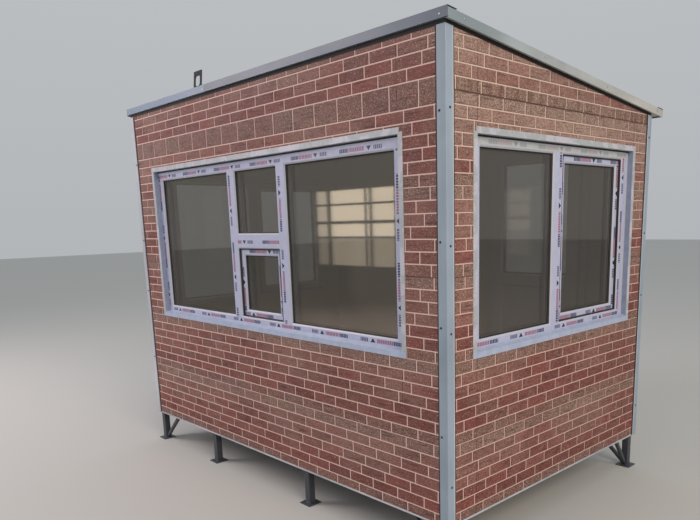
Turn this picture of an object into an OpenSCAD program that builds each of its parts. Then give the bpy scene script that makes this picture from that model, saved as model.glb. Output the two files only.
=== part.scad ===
// Security guard booth on short steel legs, 2.9 m by 1.85 m, with a roof that falls to the back.
// The front faces -Y. The origin is on the ground below the middle of the roof.
// Heights in the wall sections are measured from the bottom edge of the walls.

/* [Walls] */
// Outer length of the booth along its front
wall_w = 2912; // [2700:1:3600]
// Outer depth of the booth
wall_d = 1846; // [1760:1:2400]
// Height of the front wall
front_h = 2142; // [2080:1:2400]
// Height of the back wall
back_h = 1950; // [1930:1:2060]
// Thickness of the brick pattern siding
siding_t = 16; // [12:1:24]
// Height of one siding panel, seven brick courses
panel_h = 380; // [300:1:420]
// Height of the groove where two siding panels meet
panel_groove_h = 2; // [1:0.5:4]
// Depth of the groove where two siding panels meet
panel_groove_d = 1; // [0.5:0.5:3]
// Thickness of the insulated frame behind the siding
core_t = 50; // [40:1:100]
// Thickness of the inner lining board
lining_t = 8; // [5:1:15]

/* [Base] */
// Height of the booth's walls above the ground
leg_h = 210; // [150:1:400]
// Width of the square tube that the legs are cut from
leg_w = 40; // [30:1:50]
// Width of the square foot plates
foot_w = 90; // [70:1:110]
// Thickness of the foot plates
foot_t = 6; // [4:1:12]
// Distance from the left corner to the left middle leg
left_leg_reach = 802; // [500:1:1100]
// Distance from the right corner to the right middle leg
right_leg_reach = 1081; // [500:1:1200]
// Reach of the braces along the front and the back
long_brace_reach = 225; // [120:1:300]
// Reach of the braces along the sides
side_brace_reach = 150; // [100:1:250]
// Width of the square braces
brace_w = 20; // [12:1:30]
// Height of the floor rails and joists
rail_h = 60; // [40:1:100]
// Width of a floor joist
joist_w = 40; // [30:1:60]
// Number of floor joists
joist_count = 5; // [3:1:8]
// Thickness of the floor deck
deck_t = 18; // [12:1:30]

/* [Sheet trims] */
// Thickness of the folded sheet, drawn thicker than the real 0.5 mm
sheet_t = 1; // [0.8:0.1:2]
// Width of each face of a corner trim
corner_face = 44; // [35:1:70]
// How far a corner trim stands off the siding
corner_stand = 4; // [3:0.5:8]
// Height of the flashing along the foot of the walls
base_flash_h = 10; // [6:1:25]
// Width of the face of a window or door casing
casing_face = 28; // [20:1:40]
// Depth from the siding to the face of the window frames
reveal_d = 30; // [20:1:40]
// Rise of the sloping sill of a window casing
sill_rise = 22; // [5:1:30]

/* [Windows] */
// Wall left between a corner and the casing of the front window
front_margin = 247; // [150:1:600]
// Wall left between a corner and the casing of a side window
side_margin = 178; // [120:1:400]
// Height of the lower edge of the window casings
casing_z = 762; // [600:1:900]
// Wall left between the front window's casing and the height of the back wall
window_header = 168; // [120:1:400]
// How much lower the side casings end than the front one
side_head_drop = 11; // [0:1:12]
// Length of the notch in the corner of a casing
casing_notch = 20; // [10:1:25]
// Width of the frame profile
frame_face = 65; // [60:1:80]
// Depth of the frame profile
frame_d = 60; // [58:1:76]
// How much of the frame profile the casing covers at each side
frame_cover = 5; // [2:1:8]
// Width of the mullions and of the transom
mullion_w = 90; // [70:1:110]
// Clear width of the middle bay of the front window
middle_bay_w = 414; // [300:1:600]
// Height of the middle of the transom
transom_z = 1290; // [1200:1:1400]
// Clear width of the fixed light of a side window
fixed_light_w = 590; // [400:1:700]
// Width of the extension strip beside the side window's frame
side_extension_w = 20; // [10:1:40]
// Depth of the lip in front of the glass
lip_d = 14; // [10:1:18]
// Width of the lip and of the glazing bead over the glass
rebate_w = 20; // [16:1:24]
// Thickness of the sealed glass unit
glass_t = 24; // [20:1:32]
// Gap round the glass inside the profiles
glass_gap = 5; // [2:1:8]
// Visible width of the sash profile
sash_face = 40; // [35:1:60]
// How far the sash sits behind the lip of the frame
sash_lap = 8; // [5:1:12]
// Chamfer along the lip of a profile
lip_chamfer = 8; // [3:1:12]
// Flat edge of a glazing bead
bead_edge = 4; // [2:1:8]

/* [Door] */
// Width of the door frame
door_w = 800; // [700:1:1000]
// Wall left over the door frame
door_header = 60; // [40:1:150]
// Wall left between the corner and the door frame
door_margin = 336; // [150:1:900]
// Visible width of the door leaf profile
leaf_face = 92; // [80:1:120]
// Height of the middle rail of the door leaf
door_rail_z = 960; // [800:1:1100]
// Height of the door handle
handle_z = 1010; // [900:1:1100]
// Height of the threshold
threshold_h = 20; // [12:1:30]
// Gap between the threshold and the door leaf
leaf_gap = 5; // [3:1:8]
// Width of the plate of the door handle
handle_plate_w = 30; // [24:1:40]
// Height of that plate
handle_plate_h = 220; // [160:1:260]
// Thickness of that plate
handle_plate_t = 8; // [4:1:12]
// Radius of the lever
lever_r = 9; // [6:1:12]
// Length of the lever
lever_l = 115; // [90:1:140]
// How far the lever stands off the leaf
lever_reach = 40; // [30:1:60]
// Radius of the keyhole
keyhole_r = 5; // [3:1:8]
// Distance from the lever down to the keyhole
keyhole_drop = 70; // [50:1:90]

/* [Roof] */
// Overhang of the roof at the front
roof_front = 15; // [10:1:60]
// Overhang of the roof at the back
roof_back = 97; // [60:1:200]
// Overhang of the roof at the sides
roof_side = 25; // [15:1:60]
// Thickness of the dark board that lies on the walls
roof_board_t = 18; // [12:1:30]
// Thickness of the roof panel
roof_panel_t = 30; // [20:1:60]
// Thickness of the roof sheet
roof_sheet_t = 2; // [1:0.5:3]
// Height of the ribs of the roof sheet
rib_h = 5; // [4:1:12]
// Width of the foot of a rib
rib_foot_w = 30; // [20:1:50]
// Width of the crown of a rib
rib_crown_w = 18; // [8:1:24]
// Spacing of the ribs of the roof sheet
rib_pitch = 250; // [150:1:400]
// Height of the folded roof edge trims
fascia_h = 40; // [30:1:80]
// Width of the top fold of the roof edge trims
fascia_fold = 60; // [30:1:90]
// Width of the lower lip of the roof edge trims
fascia_lip = 10; // [6:1:12]
// Length of the left piece of the front trim
fascia_left_l = 1081; // [600:1:2000]
// How far the right piece laps over it
fascia_lap = 40; // [20:1:80]

/* [Lifting lugs] */
// Width of a lifting lug
lug_w = 94; // [80:1:140]
// Height of a lifting lug over the roof sheet
lug_h = 156; // [130:1:200]
// Thickness of a lifting lug
lug_t = 6; // [5:1:16]
// Width of the slot in a lifting lug
lug_slot_w = 60; // [40:1:70]
// Length of the slot in a lifting lug
lug_slot_h = 63; // [50:1:90]
// Corner radius of the slot in a lifting lug
lug_slot_r = 18; // [10:1:20]
// Solid height above the slot
lug_top = 29; // [20:1:40]
// Distance of the lugs from the middle of the roof
lug_x = 674; // [400:1:1200]
// Distance of the front lug from the front wall's face
lug_y = 95; // [80:1:200]

/* [Hidden] */
$fn = 48;
cut = 1;
far = 6000;

roof_len = wall_d + roof_front + roof_back;
front_y = roof_front - roof_len / 2;
back_y = front_y + wall_d;
side_x = wall_w / 2;
slope = (front_h - back_h) / wall_d;
slope_angle = atan(slope);
wall_t = siding_t + core_t + lining_t;
deck_top = rail_h + deck_t;

// Heights above the roof plane, which is the top of the walls
panel_low = roof_board_t;
panel_high = panel_low + roof_panel_t;
sheet_high = panel_high + roof_sheet_t;
verge_high = sheet_high + sheet_t;
verge_low = verge_high - fascia_h;
front_trim_high = sheet_high + rib_h + sheet_t;
front_trim_low = panel_low - sheet_t;

front_casing_w = wall_w - 2 * front_margin;
side_casing_w = wall_d - 2 * side_margin;
front_casing_top = back_h - window_header;
side_casing_top = front_casing_top - side_head_drop;
front_frame_w = front_casing_w - 2 * casing_face + 2 * frame_cover;
side_frame_w = side_casing_w - 2 * casing_face + 2 * frame_cover;
window_z = casing_z + casing_face - frame_cover;
window_frame_h = front_casing_top - casing_face + frame_cover - window_z;
bay_z = window_z + frame_face;
bay_top = window_z + window_frame_h - frame_face;
middle_mullion_x = (middle_bay_w + mullion_w) / 2;
leg_inset = siding_t + leg_w / 2;
left_leg_x = left_leg_reach - side_x;
right_leg_x = side_x - right_leg_reach;
lug_places = [[-lug_x, front_y + lug_y], [-lug_x, back_y - lug_y], [lug_x, back_y - lug_y]];
roof_end = side_x + roof_side;
fascia_lap_x = fascia_left_l - fascia_lap - roof_end;
door_x = door_margin + door_w / 2 - side_x;
door_top = back_h - door_header;
door_h = door_top - rail_h - threshold_h;

brick = [0.49, 0.32, 0.29];
trim_grey = [0.62, 0.65, 0.68];
upvc = [0.86, 0.86, 0.9];
tinted = [0.2, 0.2, 0.19];
dark_steel = [0.2, 0.21, 0.24];
lining_white = [0.9, 0.9, 0.88];

// Top of the walls at a place from front to back, above the ground
function roof_z(y) = leg_h + front_h - slope * (y - front_y);

// Box from one corner to the opposite one
module block(low, high) {
  translate(low) cube(high - low);
}

// Slab that follows the roof's fall, between two heights over the roof plane
module roof_slab(x0, x1, y0, y1, low, high) {
  translate([x0, 0, 0])
    rotate([90, 0, 90])
      linear_extrude(height = x1 - x0)
        polygon([
          [y0, roof_z(y0) + low], [y1, roof_z(y1) + low],
          [y1, roof_z(y1) + high], [y0, roof_z(y0) + high]
        ]);
}

// All the space below the roof plane
module under_roof() {
  translate([-far / 2, 0, 0])
    rotate([90, 0, 90])
      linear_extrude(height = far)
        polygon([[-far, -far], [far, -far], [far, roof_z(far)], [-far, roof_z(-far)]]);
}

// Each wall has its own frame: X along the wall as seen from outside, Y into the wall, Z up from its foot
module on_front() {
  translate([0, front_y, leg_h]) children();
}
module on_right() {
  translate([side_x, (front_y + back_y) / 2, leg_h]) rotate([0, 0, 90]) children();
}
module on_back() {
  translate([0, back_y, leg_h]) rotate([0, 0, 180]) children();
}
module on_left() {
  mirror([1, 0, 0]) on_right() children();
}

// Siding of one wall: flat panels with a fine groove at each joint between them
module siding_board(w) {
  difference() {
    block([-w / 2, 0, sheet_t], [w / 2, siding_t, front_h]);
    for (z = [panel_h : panel_h : front_h])
      block([-w / 2 - cut, -cut, z - panel_groove_h / 2],
            [w / 2 + cut, panel_groove_d, z + panel_groove_h / 2]);
  }
}

// Insulated frame and inner lining of one wall
module inner_wall(core_w, lining_w) {
  block([-core_w / 2, siding_t, rail_h], [core_w / 2, siding_t + core_t, front_h]);
  block([-lining_w / 2, siding_t + core_t, deck_top], [lining_w / 2, wall_t, front_h]);
}

// Hole that a casing leaves in the siding
module siding_hole(casing_w, casing_top) {
  half = casing_w / 2 - casing_face + sheet_t;
  block([-half, -cut, casing_z + casing_face - sheet_t],
        [half, siding_t + cut, casing_top - casing_face + sheet_t]);
}

// Hole for a window frame through the insulated wall
module frame_hole(w) {
  block([-w / 2, siding_t - cut, window_z], [w / 2, wall_t + cut, window_z + window_frame_h]);
}

module door_siding_hole() {
  half = door_w / 2 - frame_cover + sheet_t;
  block([door_x - half, -cut, -cut], [door_x + half, siding_t + cut, door_top - frame_cover + sheet_t]);
}

module door_hole() {
  block([door_x - door_w / 2, siding_t - cut, rail_h - cut], [door_x + door_w / 2, wall_t + cut, door_top]);
}

// Side walls stand between the front and back walls, trimmed to the fall of the roof
side_siding_w = wall_d - 2 * siding_t;
side_core_w = wall_d - 2 * (siding_t + core_t);
side_lining_w = wall_d - 2 * wall_t;
long_core_w = wall_w - 2 * siding_t;
long_lining_w = wall_w - 2 * (siding_t + core_t);

module front_siding() {
  color(brick) intersection() {
    on_front() difference() {
      siding_board(wall_w);
      siding_hole(front_casing_w, front_casing_top);
    }
    under_roof();
  }
}

module front_wall() {
  color(lining_white) intersection() {
    on_front() difference() {
      inner_wall(long_core_w, long_lining_w);
      frame_hole(front_frame_w);
    }
    under_roof();
  }
}

module right_siding() {
  color(brick) intersection() {
    on_right() difference() {
      siding_board(side_siding_w);
      siding_hole(side_casing_w, side_casing_top);
    }
    under_roof();
  }
}

module right_wall() {
  color(lining_white) intersection() {
    on_right() difference() {
      inner_wall(side_core_w, side_lining_w);
      frame_hole(side_frame_w);
    }
    under_roof();
  }
}

module left_siding() {
  mirror([1, 0, 0]) right_siding();
}

module left_wall() {
  mirror([1, 0, 0]) right_wall();
}

module back_siding() {
  color(brick) intersection() {
    on_back() difference() {
      siding_board(wall_w);
      door_siding_hole();
    }
    under_roof();
  }
}

module back_wall() {
  color(lining_white) intersection() {
    on_back() difference() {
      inner_wall(long_core_w, long_lining_w);
      door_hole();
    }
    under_roof();
  }
}

// Base: legs on foot plates, braced to the floor rails
leg_xs = [-side_x + leg_inset, left_leg_x, right_leg_x, side_x - leg_inset];

module leg_row(y) {
  for (x = leg_xs)
    block([x - leg_w / 2, y - leg_w / 2, foot_t], [x + leg_w / 2, y + leg_w / 2, leg_h]);
}

module foot_plates() {
  color(dark_steel)
    for (x = leg_xs)
      for (y = [front_y + leg_inset, back_y - leg_inset])
        block([x - foot_w / 2, y - foot_w / 2, 0], [x + foot_w / 2, y + foot_w / 2, foot_t]);
}

module front_legs() {
  color(dark_steel) leg_row(front_y + leg_inset);
}

module back_legs() {
  color(dark_steel) leg_row(back_y - leg_inset);
}

// Brace in the XZ plane from the foot of a leg at x = 0 up to a rail at the reach
module brace(reach) {
  rise = leg_h - foot_t;
  slant = brace_w * sqrt(reach * reach + rise * rise);
  rotate([90, 0, 0])
    linear_extrude(height = brace_w, center = true)
      polygon([[0, foot_t], [reach, leg_h], [reach - slant / rise, leg_h], [0, foot_t + slant / reach]]);
}

module leg_braces() {
  color(dark_steel)
    for (sx = [-1, 1])
      for (sy = [-1, 1]) {
        y = sy < 0 ? front_y + leg_inset : back_y - leg_inset;
        translate([sx * (side_x - siding_t - leg_w), y, 0])
          mirror([sx > 0 ? 1 : 0, 0, 0]) brace(long_brace_reach);
        translate([sx * (side_x - leg_inset), y - sy * leg_w / 2, 0])
          rotate([0, 0, -sy * 90]) brace(side_brace_reach);
      }
}

// Floor
module front_base_rail() {
  color(dark_steel) on_front()
    block([-long_core_w / 2, siding_t, 0], [long_core_w / 2, siding_t + core_t, rail_h]);
}

module back_base_rail() {
  color(dark_steel) on_back()
    block([-long_core_w / 2, siding_t, 0], [long_core_w / 2, siding_t + core_t, rail_h]);
}

module right_base_rail() {
  color(dark_steel) on_right()
    block([-side_core_w / 2, siding_t, 0], [side_core_w / 2, siding_t + core_t, rail_h]);
}

module left_base_rail() {
  mirror([1, 0, 0]) right_base_rail();
}

module floor_joists() {
  span = long_lining_w / (joist_count + 1);
  color(dark_steel)
    for (i = [1 : joist_count])
      translate([-long_lining_w / 2 + i * span, 0, leg_h])
        block([-joist_w / 2, front_y + siding_t + core_t, 0],
              [joist_w / 2, back_y - siding_t - core_t, rail_h]);
}

module floor_deck() {
  inset = siding_t + core_t;
  color([0.55, 0.5, 0.43])
    block([-side_x + inset, front_y + inset, leg_h + rail_h],
          [side_x - inset, back_y - inset, leg_h + deck_top]);
}

// Corner trim of folded sheet: two faces that stand off the siding, with their edges turned back to it
module corner_trim() {
  s = corner_stand;
  t = sheet_t;
  f = corner_face;
  color(trim_grey) intersection() {
    translate([side_x, front_y, leg_h])
      linear_extrude(height = front_h)
        polygon([[-f, 0], [-f, -s], [s, -s], [s, f], [0, f], [0, f - t], [s - t, f - t],
                 [s - t, t - s], [t - f, t - s], [t - f, 0]]);
    under_roof();
  }
}

// The back pair is turned end for end before it is trimmed to the roof
module back_corner_trim() {
  s = corner_stand;
  t = sheet_t;
  f = corner_face;
  color(trim_grey) intersection() {
    translate([side_x, back_y, leg_h])
      linear_extrude(height = front_h)
        polygon([[-f, 0], [-f, s], [s, s], [s, -f], [0, -f], [0, t - f], [s - t, t - f],
                 [s - t, s - t], [t - f, s - t], [t - f, 0]]);
    under_roof();
  }
}

module corner_trim_front_right() { corner_trim(); }
module corner_trim_front_left() { mirror([1, 0, 0]) corner_trim(); }
module corner_trim_back_right() { back_corner_trim(); }
module corner_trim_back_left() { mirror([1, 0, 0]) back_corner_trim(); }

// Flashing under the siding with a short upturn over its face, drawn along X and centred
module base_flashing(x0, x1) {
  translate([x0, 0, 0])
    rotate([90, 0, 90])
      linear_extrude(height = x1 - x0)
        polygon([[-sheet_t, 0], [siding_t, 0], [siding_t, sheet_t],
                 [0, sheet_t], [0, base_flash_h], [-sheet_t, base_flash_h]]);
}

module base_flashings() {
  long_end = side_x - corner_face;
  side_end = wall_d / 2 - corner_face;
  door_half = door_w / 2 - frame_cover + casing_face;
  color(trim_grey) {
    on_front() base_flashing(-long_end, long_end);
    on_right() base_flashing(-side_end, side_end);
    on_left() base_flashing(-side_end, side_end);
    on_back() base_flashing(-long_end, door_x - door_half);
    on_back() base_flashing(door_x + door_half, long_end);
  }
}

// Casing of a window: a face ring on the siding, a reveal back to the frame and a sloping sill.
// The corner towards the booth's near corner is notched, where the top strip stops short.
module window_casing(w, top, notch_side) {
  t = sheet_t;
  low = casing_z + casing_face;
  high = top - casing_face;
  half = w / 2 - casing_face;
  difference() {
    union() {
      difference() {
        block([-w / 2, -t, casing_z], [w / 2, 0, top]);
        block([-half, -t - cut, low], [half, cut, high]);
      }
      difference() {
        block([-half - t, -t, low - t], [half + t, reveal_d, high + t]);
        block([-half, -t - cut, low - t - cut], [half, reveal_d + cut, high]);
      }
      translate([-half - t, 0, 0])
        rotate([90, 0, 90])
          linear_extrude(height = 2 * (half + t))
            polygon([[-t, low - t], [0, low - t], [reveal_d, low + sill_rise - t],
                     [reveal_d, low + sill_rise], [-t, low]]);
    }
    translate([notch_side * w / 2, 0, top])
      block([-casing_notch, -t - cut, -casing_notch], [casing_notch, 0, casing_notch]);
  }
}

module front_window_casing() {
  color(trim_grey) on_front() window_casing(front_casing_w, front_casing_top, 1);
}

module right_window_casing() {
  color(trim_grey) on_right() window_casing(side_casing_w, side_casing_top, -1);
}

module left_window_casing() {
  mirror([1, 0, 0]) right_window_casing();
}

// Inner side of a glazed profile, from its face to its back. The first number of a point is measured in from
// the profile's outer side, and the second back from its face. The groove behind the lip holds the glass.
function glazed_edge(face) = [
  [face - lip_chamfer, 0], [face, lip_chamfer * 0.75], [face, lip_d],
  [face - rebate_w, lip_d], [face - rebate_w, lip_d + glass_t],
  [face, lip_d + glass_t], [face, lip_d + glass_t + bead_edge], [face - rebate_w / 2, frame_d]
];

// Inner side of a profile with only a lip, for a leaf to close against
function stop_edge(face) = [
  [face - lip_chamfer, 0], [face, lip_chamfer * 0.75], [face, lip_d],
  [face - rebate_w, lip_d], [face - rebate_w, frame_d]
];

function mirrored(points) = [for (i = [len(points) - 1 : -1 : 0]) [-points[i][0], points[i][1]]];

// Outline of the space inside a ring of profiles: its width, or height, at each depth
function cavity(half, edge) =
  let (
    ends = concat([[edge[0][0], -cut]], edge, [[edge[len(edge) - 1][0], frame_d + cut]]),
    side = [for (p = ends) [half - p[0], p[1]]]
  )
  concat(side, mirrored(side));

// Ring of a profile with mitred corners, standing in XZ with its face towards -Y. The space inside it is
// where two prisms meet: one has the ring's width at each depth, the other its height.
module profile_ring(w, h, edge) {
  difference() {
    block([-w / 2, 0, 0], [w / 2, frame_d, h]);
    intersection() {
      translate([0, 0, -cut]) linear_extrude(height = h + 2 * cut) polygon(cavity(w / 2, edge));
      translate([w / 2 + cut, 0, h / 2])
        rotate([0, -90, 0]) linear_extrude(height = w + 2 * cut) polygon(cavity(h / 2, edge));
    }
  }
}

// Section of a mullion, with a lip, a groove and a bead on each side
function mullion_section() = concat(glazed_edge(mullion_w / 2), mirrored(glazed_edge(mullion_w / 2)));

// Upright mullion between two heights, centred on x = 0
module mullion(z0, z1) {
  translate([0, 0, z0]) linear_extrude(height = z1 - z0) polygon(mullion_section());
}

// Level transom between two places, centred on z = 0
module transom(x0, x1) {
  translate([x1, 0, 0]) rotate([0, -90, 0]) linear_extrude(height = x1 - x0) polygon(mullion_section());
}

// Space behind the lip of a bay, where a sash sits in place of the beads
module sash_seat(x0, x1, z0, z1) {
  e = rebate_w;
  block([x0 - e, lip_d, z0 - e], [x1 + e, frame_d + cut, z1 + e]);
}

// Sash behind the lip of a bay
module sash(x0, x1, z0, z1) {
  w = x1 - x0 + 2 * sash_lap;
  h = z1 - z0 + 2 * sash_lap;
  translate([(x0 + x1) / 2, lip_d, z0 - sash_lap]) profile_ring(w, h, glazed_edge(sash_face + sash_lap));
}

// Glass unit in the groove round a bay
module pane(x0, x1, z0, z1) {
  e = rebate_w - glass_gap;
  block([x0 - e, lip_d, z0 - e], [x1 + e, lip_d + glass_t, z1 + e]);
}

// Glass unit in the groove of a sash
module sash_pane(x0, x1, z0, z1) {
  e = sash_face;
  translate([0, lip_d, 0]) pane(x0 + e, x1 - e, z0 + e, z1 - e);
}

module in_window() {
  translate([0, reveal_d, 0]) children();
}

// Front window: a wide fixed light at each side, and a narrow middle bay with a fixed light over a sash
front_bay = front_frame_w / 2 - frame_face;
middle_bay = middle_bay_w / 2;
transom_low = transom_z - mullion_w / 2;
transom_high = transom_z + mullion_w / 2;

module front_window_frame() {
  color(upvc) on_front() in_window() difference() {
    union() {
      translate([0, 0, window_z])
        profile_ring(front_frame_w, window_frame_h, glazed_edge(frame_face));
      for (s = [-1, 1])
        translate([s * middle_mullion_x, 0, 0]) mullion(bay_z - rebate_w, bay_top + rebate_w);
      translate([0, 0, transom_z]) transom(-middle_bay - rebate_w, middle_bay + rebate_w);
    }
    sash_seat(-middle_bay, middle_bay, bay_z, transom_low);
  }
}

module front_window_sash() {
  color(upvc) on_front() in_window() sash(-middle_bay, middle_bay, bay_z, transom_low);
}

module front_window_glass() {
  color(tinted) on_front() in_window() {
    pane(-front_bay, -middle_bay - mullion_w, bay_z, bay_top);
    pane(middle_bay + mullion_w, front_bay, bay_z, bay_top);
    pane(-middle_bay, middle_bay, transom_high, bay_top);
    sash_pane(-middle_bay, middle_bay, bay_z, transom_low);
  }
}

// Side window: a fixed light towards the front and a sash towards the back
side_ring_w = side_frame_w - side_extension_w;
side_ring_x = -side_extension_w / 2;
side_bay_x0 = side_ring_x - side_ring_w / 2 + frame_face;
side_bay_x1 = side_ring_x + side_ring_w / 2 - frame_face;
fixed_x1 = side_bay_x0 + fixed_light_w;
side_mullion_x = fixed_x1 + mullion_w / 2;
sash_x0 = fixed_x1 + mullion_w;

module right_window_frame() {
  color(upvc) on_right() in_window() difference() {
    union() {
      translate([side_ring_x, 0, window_z])
        profile_ring(side_ring_w, window_frame_h, glazed_edge(frame_face));
      translate([side_mullion_x, 0, 0]) mullion(bay_z - rebate_w, bay_top + rebate_w);
      block([side_ring_x + side_ring_w / 2, 0, window_z],
            [side_frame_w / 2, frame_d, window_z + window_frame_h]);
    }
    sash_seat(sash_x0, side_bay_x1, bay_z, bay_top);
  }
}

module right_window_sash() {
  color(upvc) on_right() in_window() sash(sash_x0, side_bay_x1, bay_z, bay_top);
}

module right_window_glass() {
  color(tinted) on_right() in_window() {
    pane(side_bay_x0, fixed_x1, bay_z, bay_top);
    sash_pane(sash_x0, side_bay_x1, bay_z, bay_top);
  }
}

module left_window_frame() { mirror([1, 0, 0]) right_window_frame(); }
module left_window_sash() { mirror([1, 0, 0]) right_window_sash(); }
module left_window_glass() { mirror([1, 0, 0]) right_window_glass(); }

// Door in the back wall, in the middle of its own frame: X along the wall, Z from the floor rails
leaf_w = door_w - 2 * (frame_face - sash_lap);
leaf_low = threshold_h + leaf_gap;
leaf_high = threshold_h + door_h - frame_face + sash_lap;
leaf_bay = leaf_w / 2 - leaf_face;
door_rail = door_rail_z - rail_h;

module at_door() {
  on_back() translate([door_x, reveal_d, rail_h]) children();
}

module door_casing() {
  t = sheet_t;
  half = door_w / 2 - frame_cover;
  high = door_top - frame_cover;
  color(trim_grey) on_back() translate([door_x, 0, 0]) {
    difference() {
      block([-half - casing_face, -t, 0], [half + casing_face, 0, high + casing_face]);
      block([-half, -t - cut, -cut], [half, cut, high]);
    }
    difference() {
      block([-half - t, -t, 0], [half + t, reveal_d, high + t]);
      block([-half, -t - cut, -cut], [half, reveal_d + cut, high]);
    }
  }
}

module door_frame() {
  color(upvc) at_door() difference() {
    translate([0, 0, -frame_face])
      profile_ring(door_w, threshold_h + door_h + frame_face, stop_edge(frame_face));
    block([-door_w, -cut, -2 * frame_face], [door_w, frame_d + cut, threshold_h]);
  }
}

module door_threshold() {
  color([0.7, 0.71, 0.73]) at_door()
    block([-door_w / 2, 0, 0], [door_w / 2, siding_t + core_t - reveal_d, threshold_h]);
}

module door_leaf() {
  rail_half = mullion_w / 2;
  color(upvc) at_door() translate([0, lip_d, 0]) {
    translate([0, 0, leaf_low]) profile_ring(leaf_w, leaf_high - leaf_low, glazed_edge(leaf_face));
    translate([0, 0, door_rail]) transom(-leaf_bay - rebate_w, leaf_bay + rebate_w);
  }
}

module door_glass() {
  color(tinted) at_door() translate([0, lip_d, 0])
    pane(-leaf_bay, leaf_bay, door_rail + mullion_w / 2, leaf_high - leaf_face);
}

module door_panel() {
  color(upvc) at_door() translate([0, lip_d, 0])
    pane(-leaf_bay, leaf_bay, leaf_low + leaf_face, door_rail - mullion_w / 2);
}

// Lever handle on a long plate with a keyhole, on the outer face of the leaf
module door_handle() {
  half = handle_plate_w / 2;
  low = -handle_plate_h * 0.6;
  color([0.8, 0.8, 0.82]) at_door() translate([(leaf_face - leaf_w) / 2, lip_d, handle_z - rail_h]) {
    difference() {
      block([-half, -handle_plate_t, low], [half, 0, low + handle_plate_h]);
      translate([0, 0, -keyhole_drop])
        rotate([90, 0, 0]) cylinder(r = keyhole_r, h = 3 * handle_plate_t, center = true);
    }
    rotate([90, 0, 0]) cylinder(r = lever_r, h = lever_reach);
    translate([0, lever_r - lever_reach, 0]) rotate([0, 90, 0]) cylinder(r = lever_r, h = lever_l);
  }
}

// Roof
module roof_board() {
  color(dark_steel) roof_slab(-side_x, side_x, front_y, back_y, 0, roof_board_t);
}

module roof_panel() {
  x = roof_end - sheet_t;
  color(lining_white)
    roof_slab(-x, x, front_y - roof_front + 2 * sheet_t, back_y + roof_back - sheet_t, panel_low, panel_high);
}

// Ribbed sheet, drawn flat as one outline across the roof and then laid on the panel's slope.
// Its heights are cut by the slope, so that straight up they measure the same as those of the edge trims.
module roof_sheet() {
  half = roof_end - sheet_t;
  y0 = front_y - roof_front + 2 * sheet_t;
  y1 = back_y + roof_back - sheet_t;
  flat = roof_sheet_t * cos(slope_angle);
  crown = (roof_sheet_t + rib_h) * cos(slope_angle);
  length = (y1 - y0) / cos(slope_angle) - 2 * roof_sheet_t;
  count = floor((half - fascia_fold) / rib_pitch);
  outline = concat(
    [[-half, 0], [half, 0], [half, flat]],
    [for (i = [count : -1 : -count])
      for (p = [
        [rib_foot_w / 2, flat], [rib_crown_w / 2, crown],
        [-rib_crown_w / 2, crown], [-rib_foot_w / 2, flat]
      ])
        [i * rib_pitch + p[0], p[1]]],
    [[-half, flat]]
  );
  color(trim_grey)
    translate([0, y0, roof_z(y0) + panel_high])
      rotate([-slope_angle, 0, 0])
        translate([0, length, 0])
          rotate([90, 0, 0]) linear_extrude(height = length) polygon(outline);
}

// Front roof edge of two lengths of folded sheet, the right one lapped over the left one
module front_trim_length(x0, x1, step) {
  t = sheet_t;
  y0 = front_y - roof_front + t - step;
  low = front_trim_low - step;
  high = front_trim_high + step;
  roof_slab(x0, x1, y0, y0 + t, low, high);
  roof_slab(x0, x1, y0, y0 + fascia_fold, high - t, high);
  roof_slab(x0, x1, y0, y0 + fascia_lip, low, low + t);
}

module front_fascia() {
  color(trim_grey) {
    front_trim_length(-roof_end, fascia_lap_x + fascia_lap, 0);
    front_trim_length(fascia_lap_x, roof_end, sheet_t);
  }
}

module back_fascia() {
  t = sheet_t;
  y1 = back_y + roof_back;
  color(trim_grey) {
    roof_slab(-roof_end, roof_end, y1 - t, y1, verge_low, front_trim_high);
    roof_slab(-roof_end, roof_end, y1 - fascia_fold, y1, front_trim_high - t, front_trim_high);
  }
}

module right_verge() {
  t = sheet_t;
  x1 = roof_end;
  y0 = front_y - roof_front + 2 * t;
  y1 = back_y + roof_back - t;
  color(trim_grey) {
    roof_slab(x1 - t, x1, y0, y1, verge_low, verge_high);
    roof_slab(x1 - fascia_fold, x1, y0, y1, sheet_high, verge_high);
    roof_slab(x1 - fascia_lip, x1, y0, y1, verge_low, verge_low + t);
  }
}

module left_verge() {
  mirror([1, 0, 0]) right_verge();
}

// Lifting lugs: plates that stand square on the sloping roof, each with a slot with rounded corners
module lug() {
  slot_high = lug_h - lug_top;
  slot_low = slot_high - lug_slot_h;
  slot_x = lug_slot_w / 2;
  r = lug_slot_r;
  difference() {
    block([-lug_w / 2, -lug_t / 2, 0], [lug_w / 2, lug_t / 2, lug_h]);
    for (x = [r - slot_x, slot_x - r], z = [slot_low + r, slot_high - r])
      translate([x, 0, z]) rotate([90, 0, 0]) cylinder(r = r, h = 2 * lug_t, center = true);
    block([-slot_x, -lug_t, slot_low + r], [slot_x, lug_t, slot_high - r]);
    block([r - slot_x, -lug_t, slot_low], [slot_x - r, lug_t, slot_high]);
  }
}

module lifting_lugs() {
  color(dark_steel)
    for (p = lug_places)
      translate([p[0], p[1], roof_z(p[1]) + sheet_high]) rotate([-slope_angle, 0, 0]) lug();
}

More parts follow.
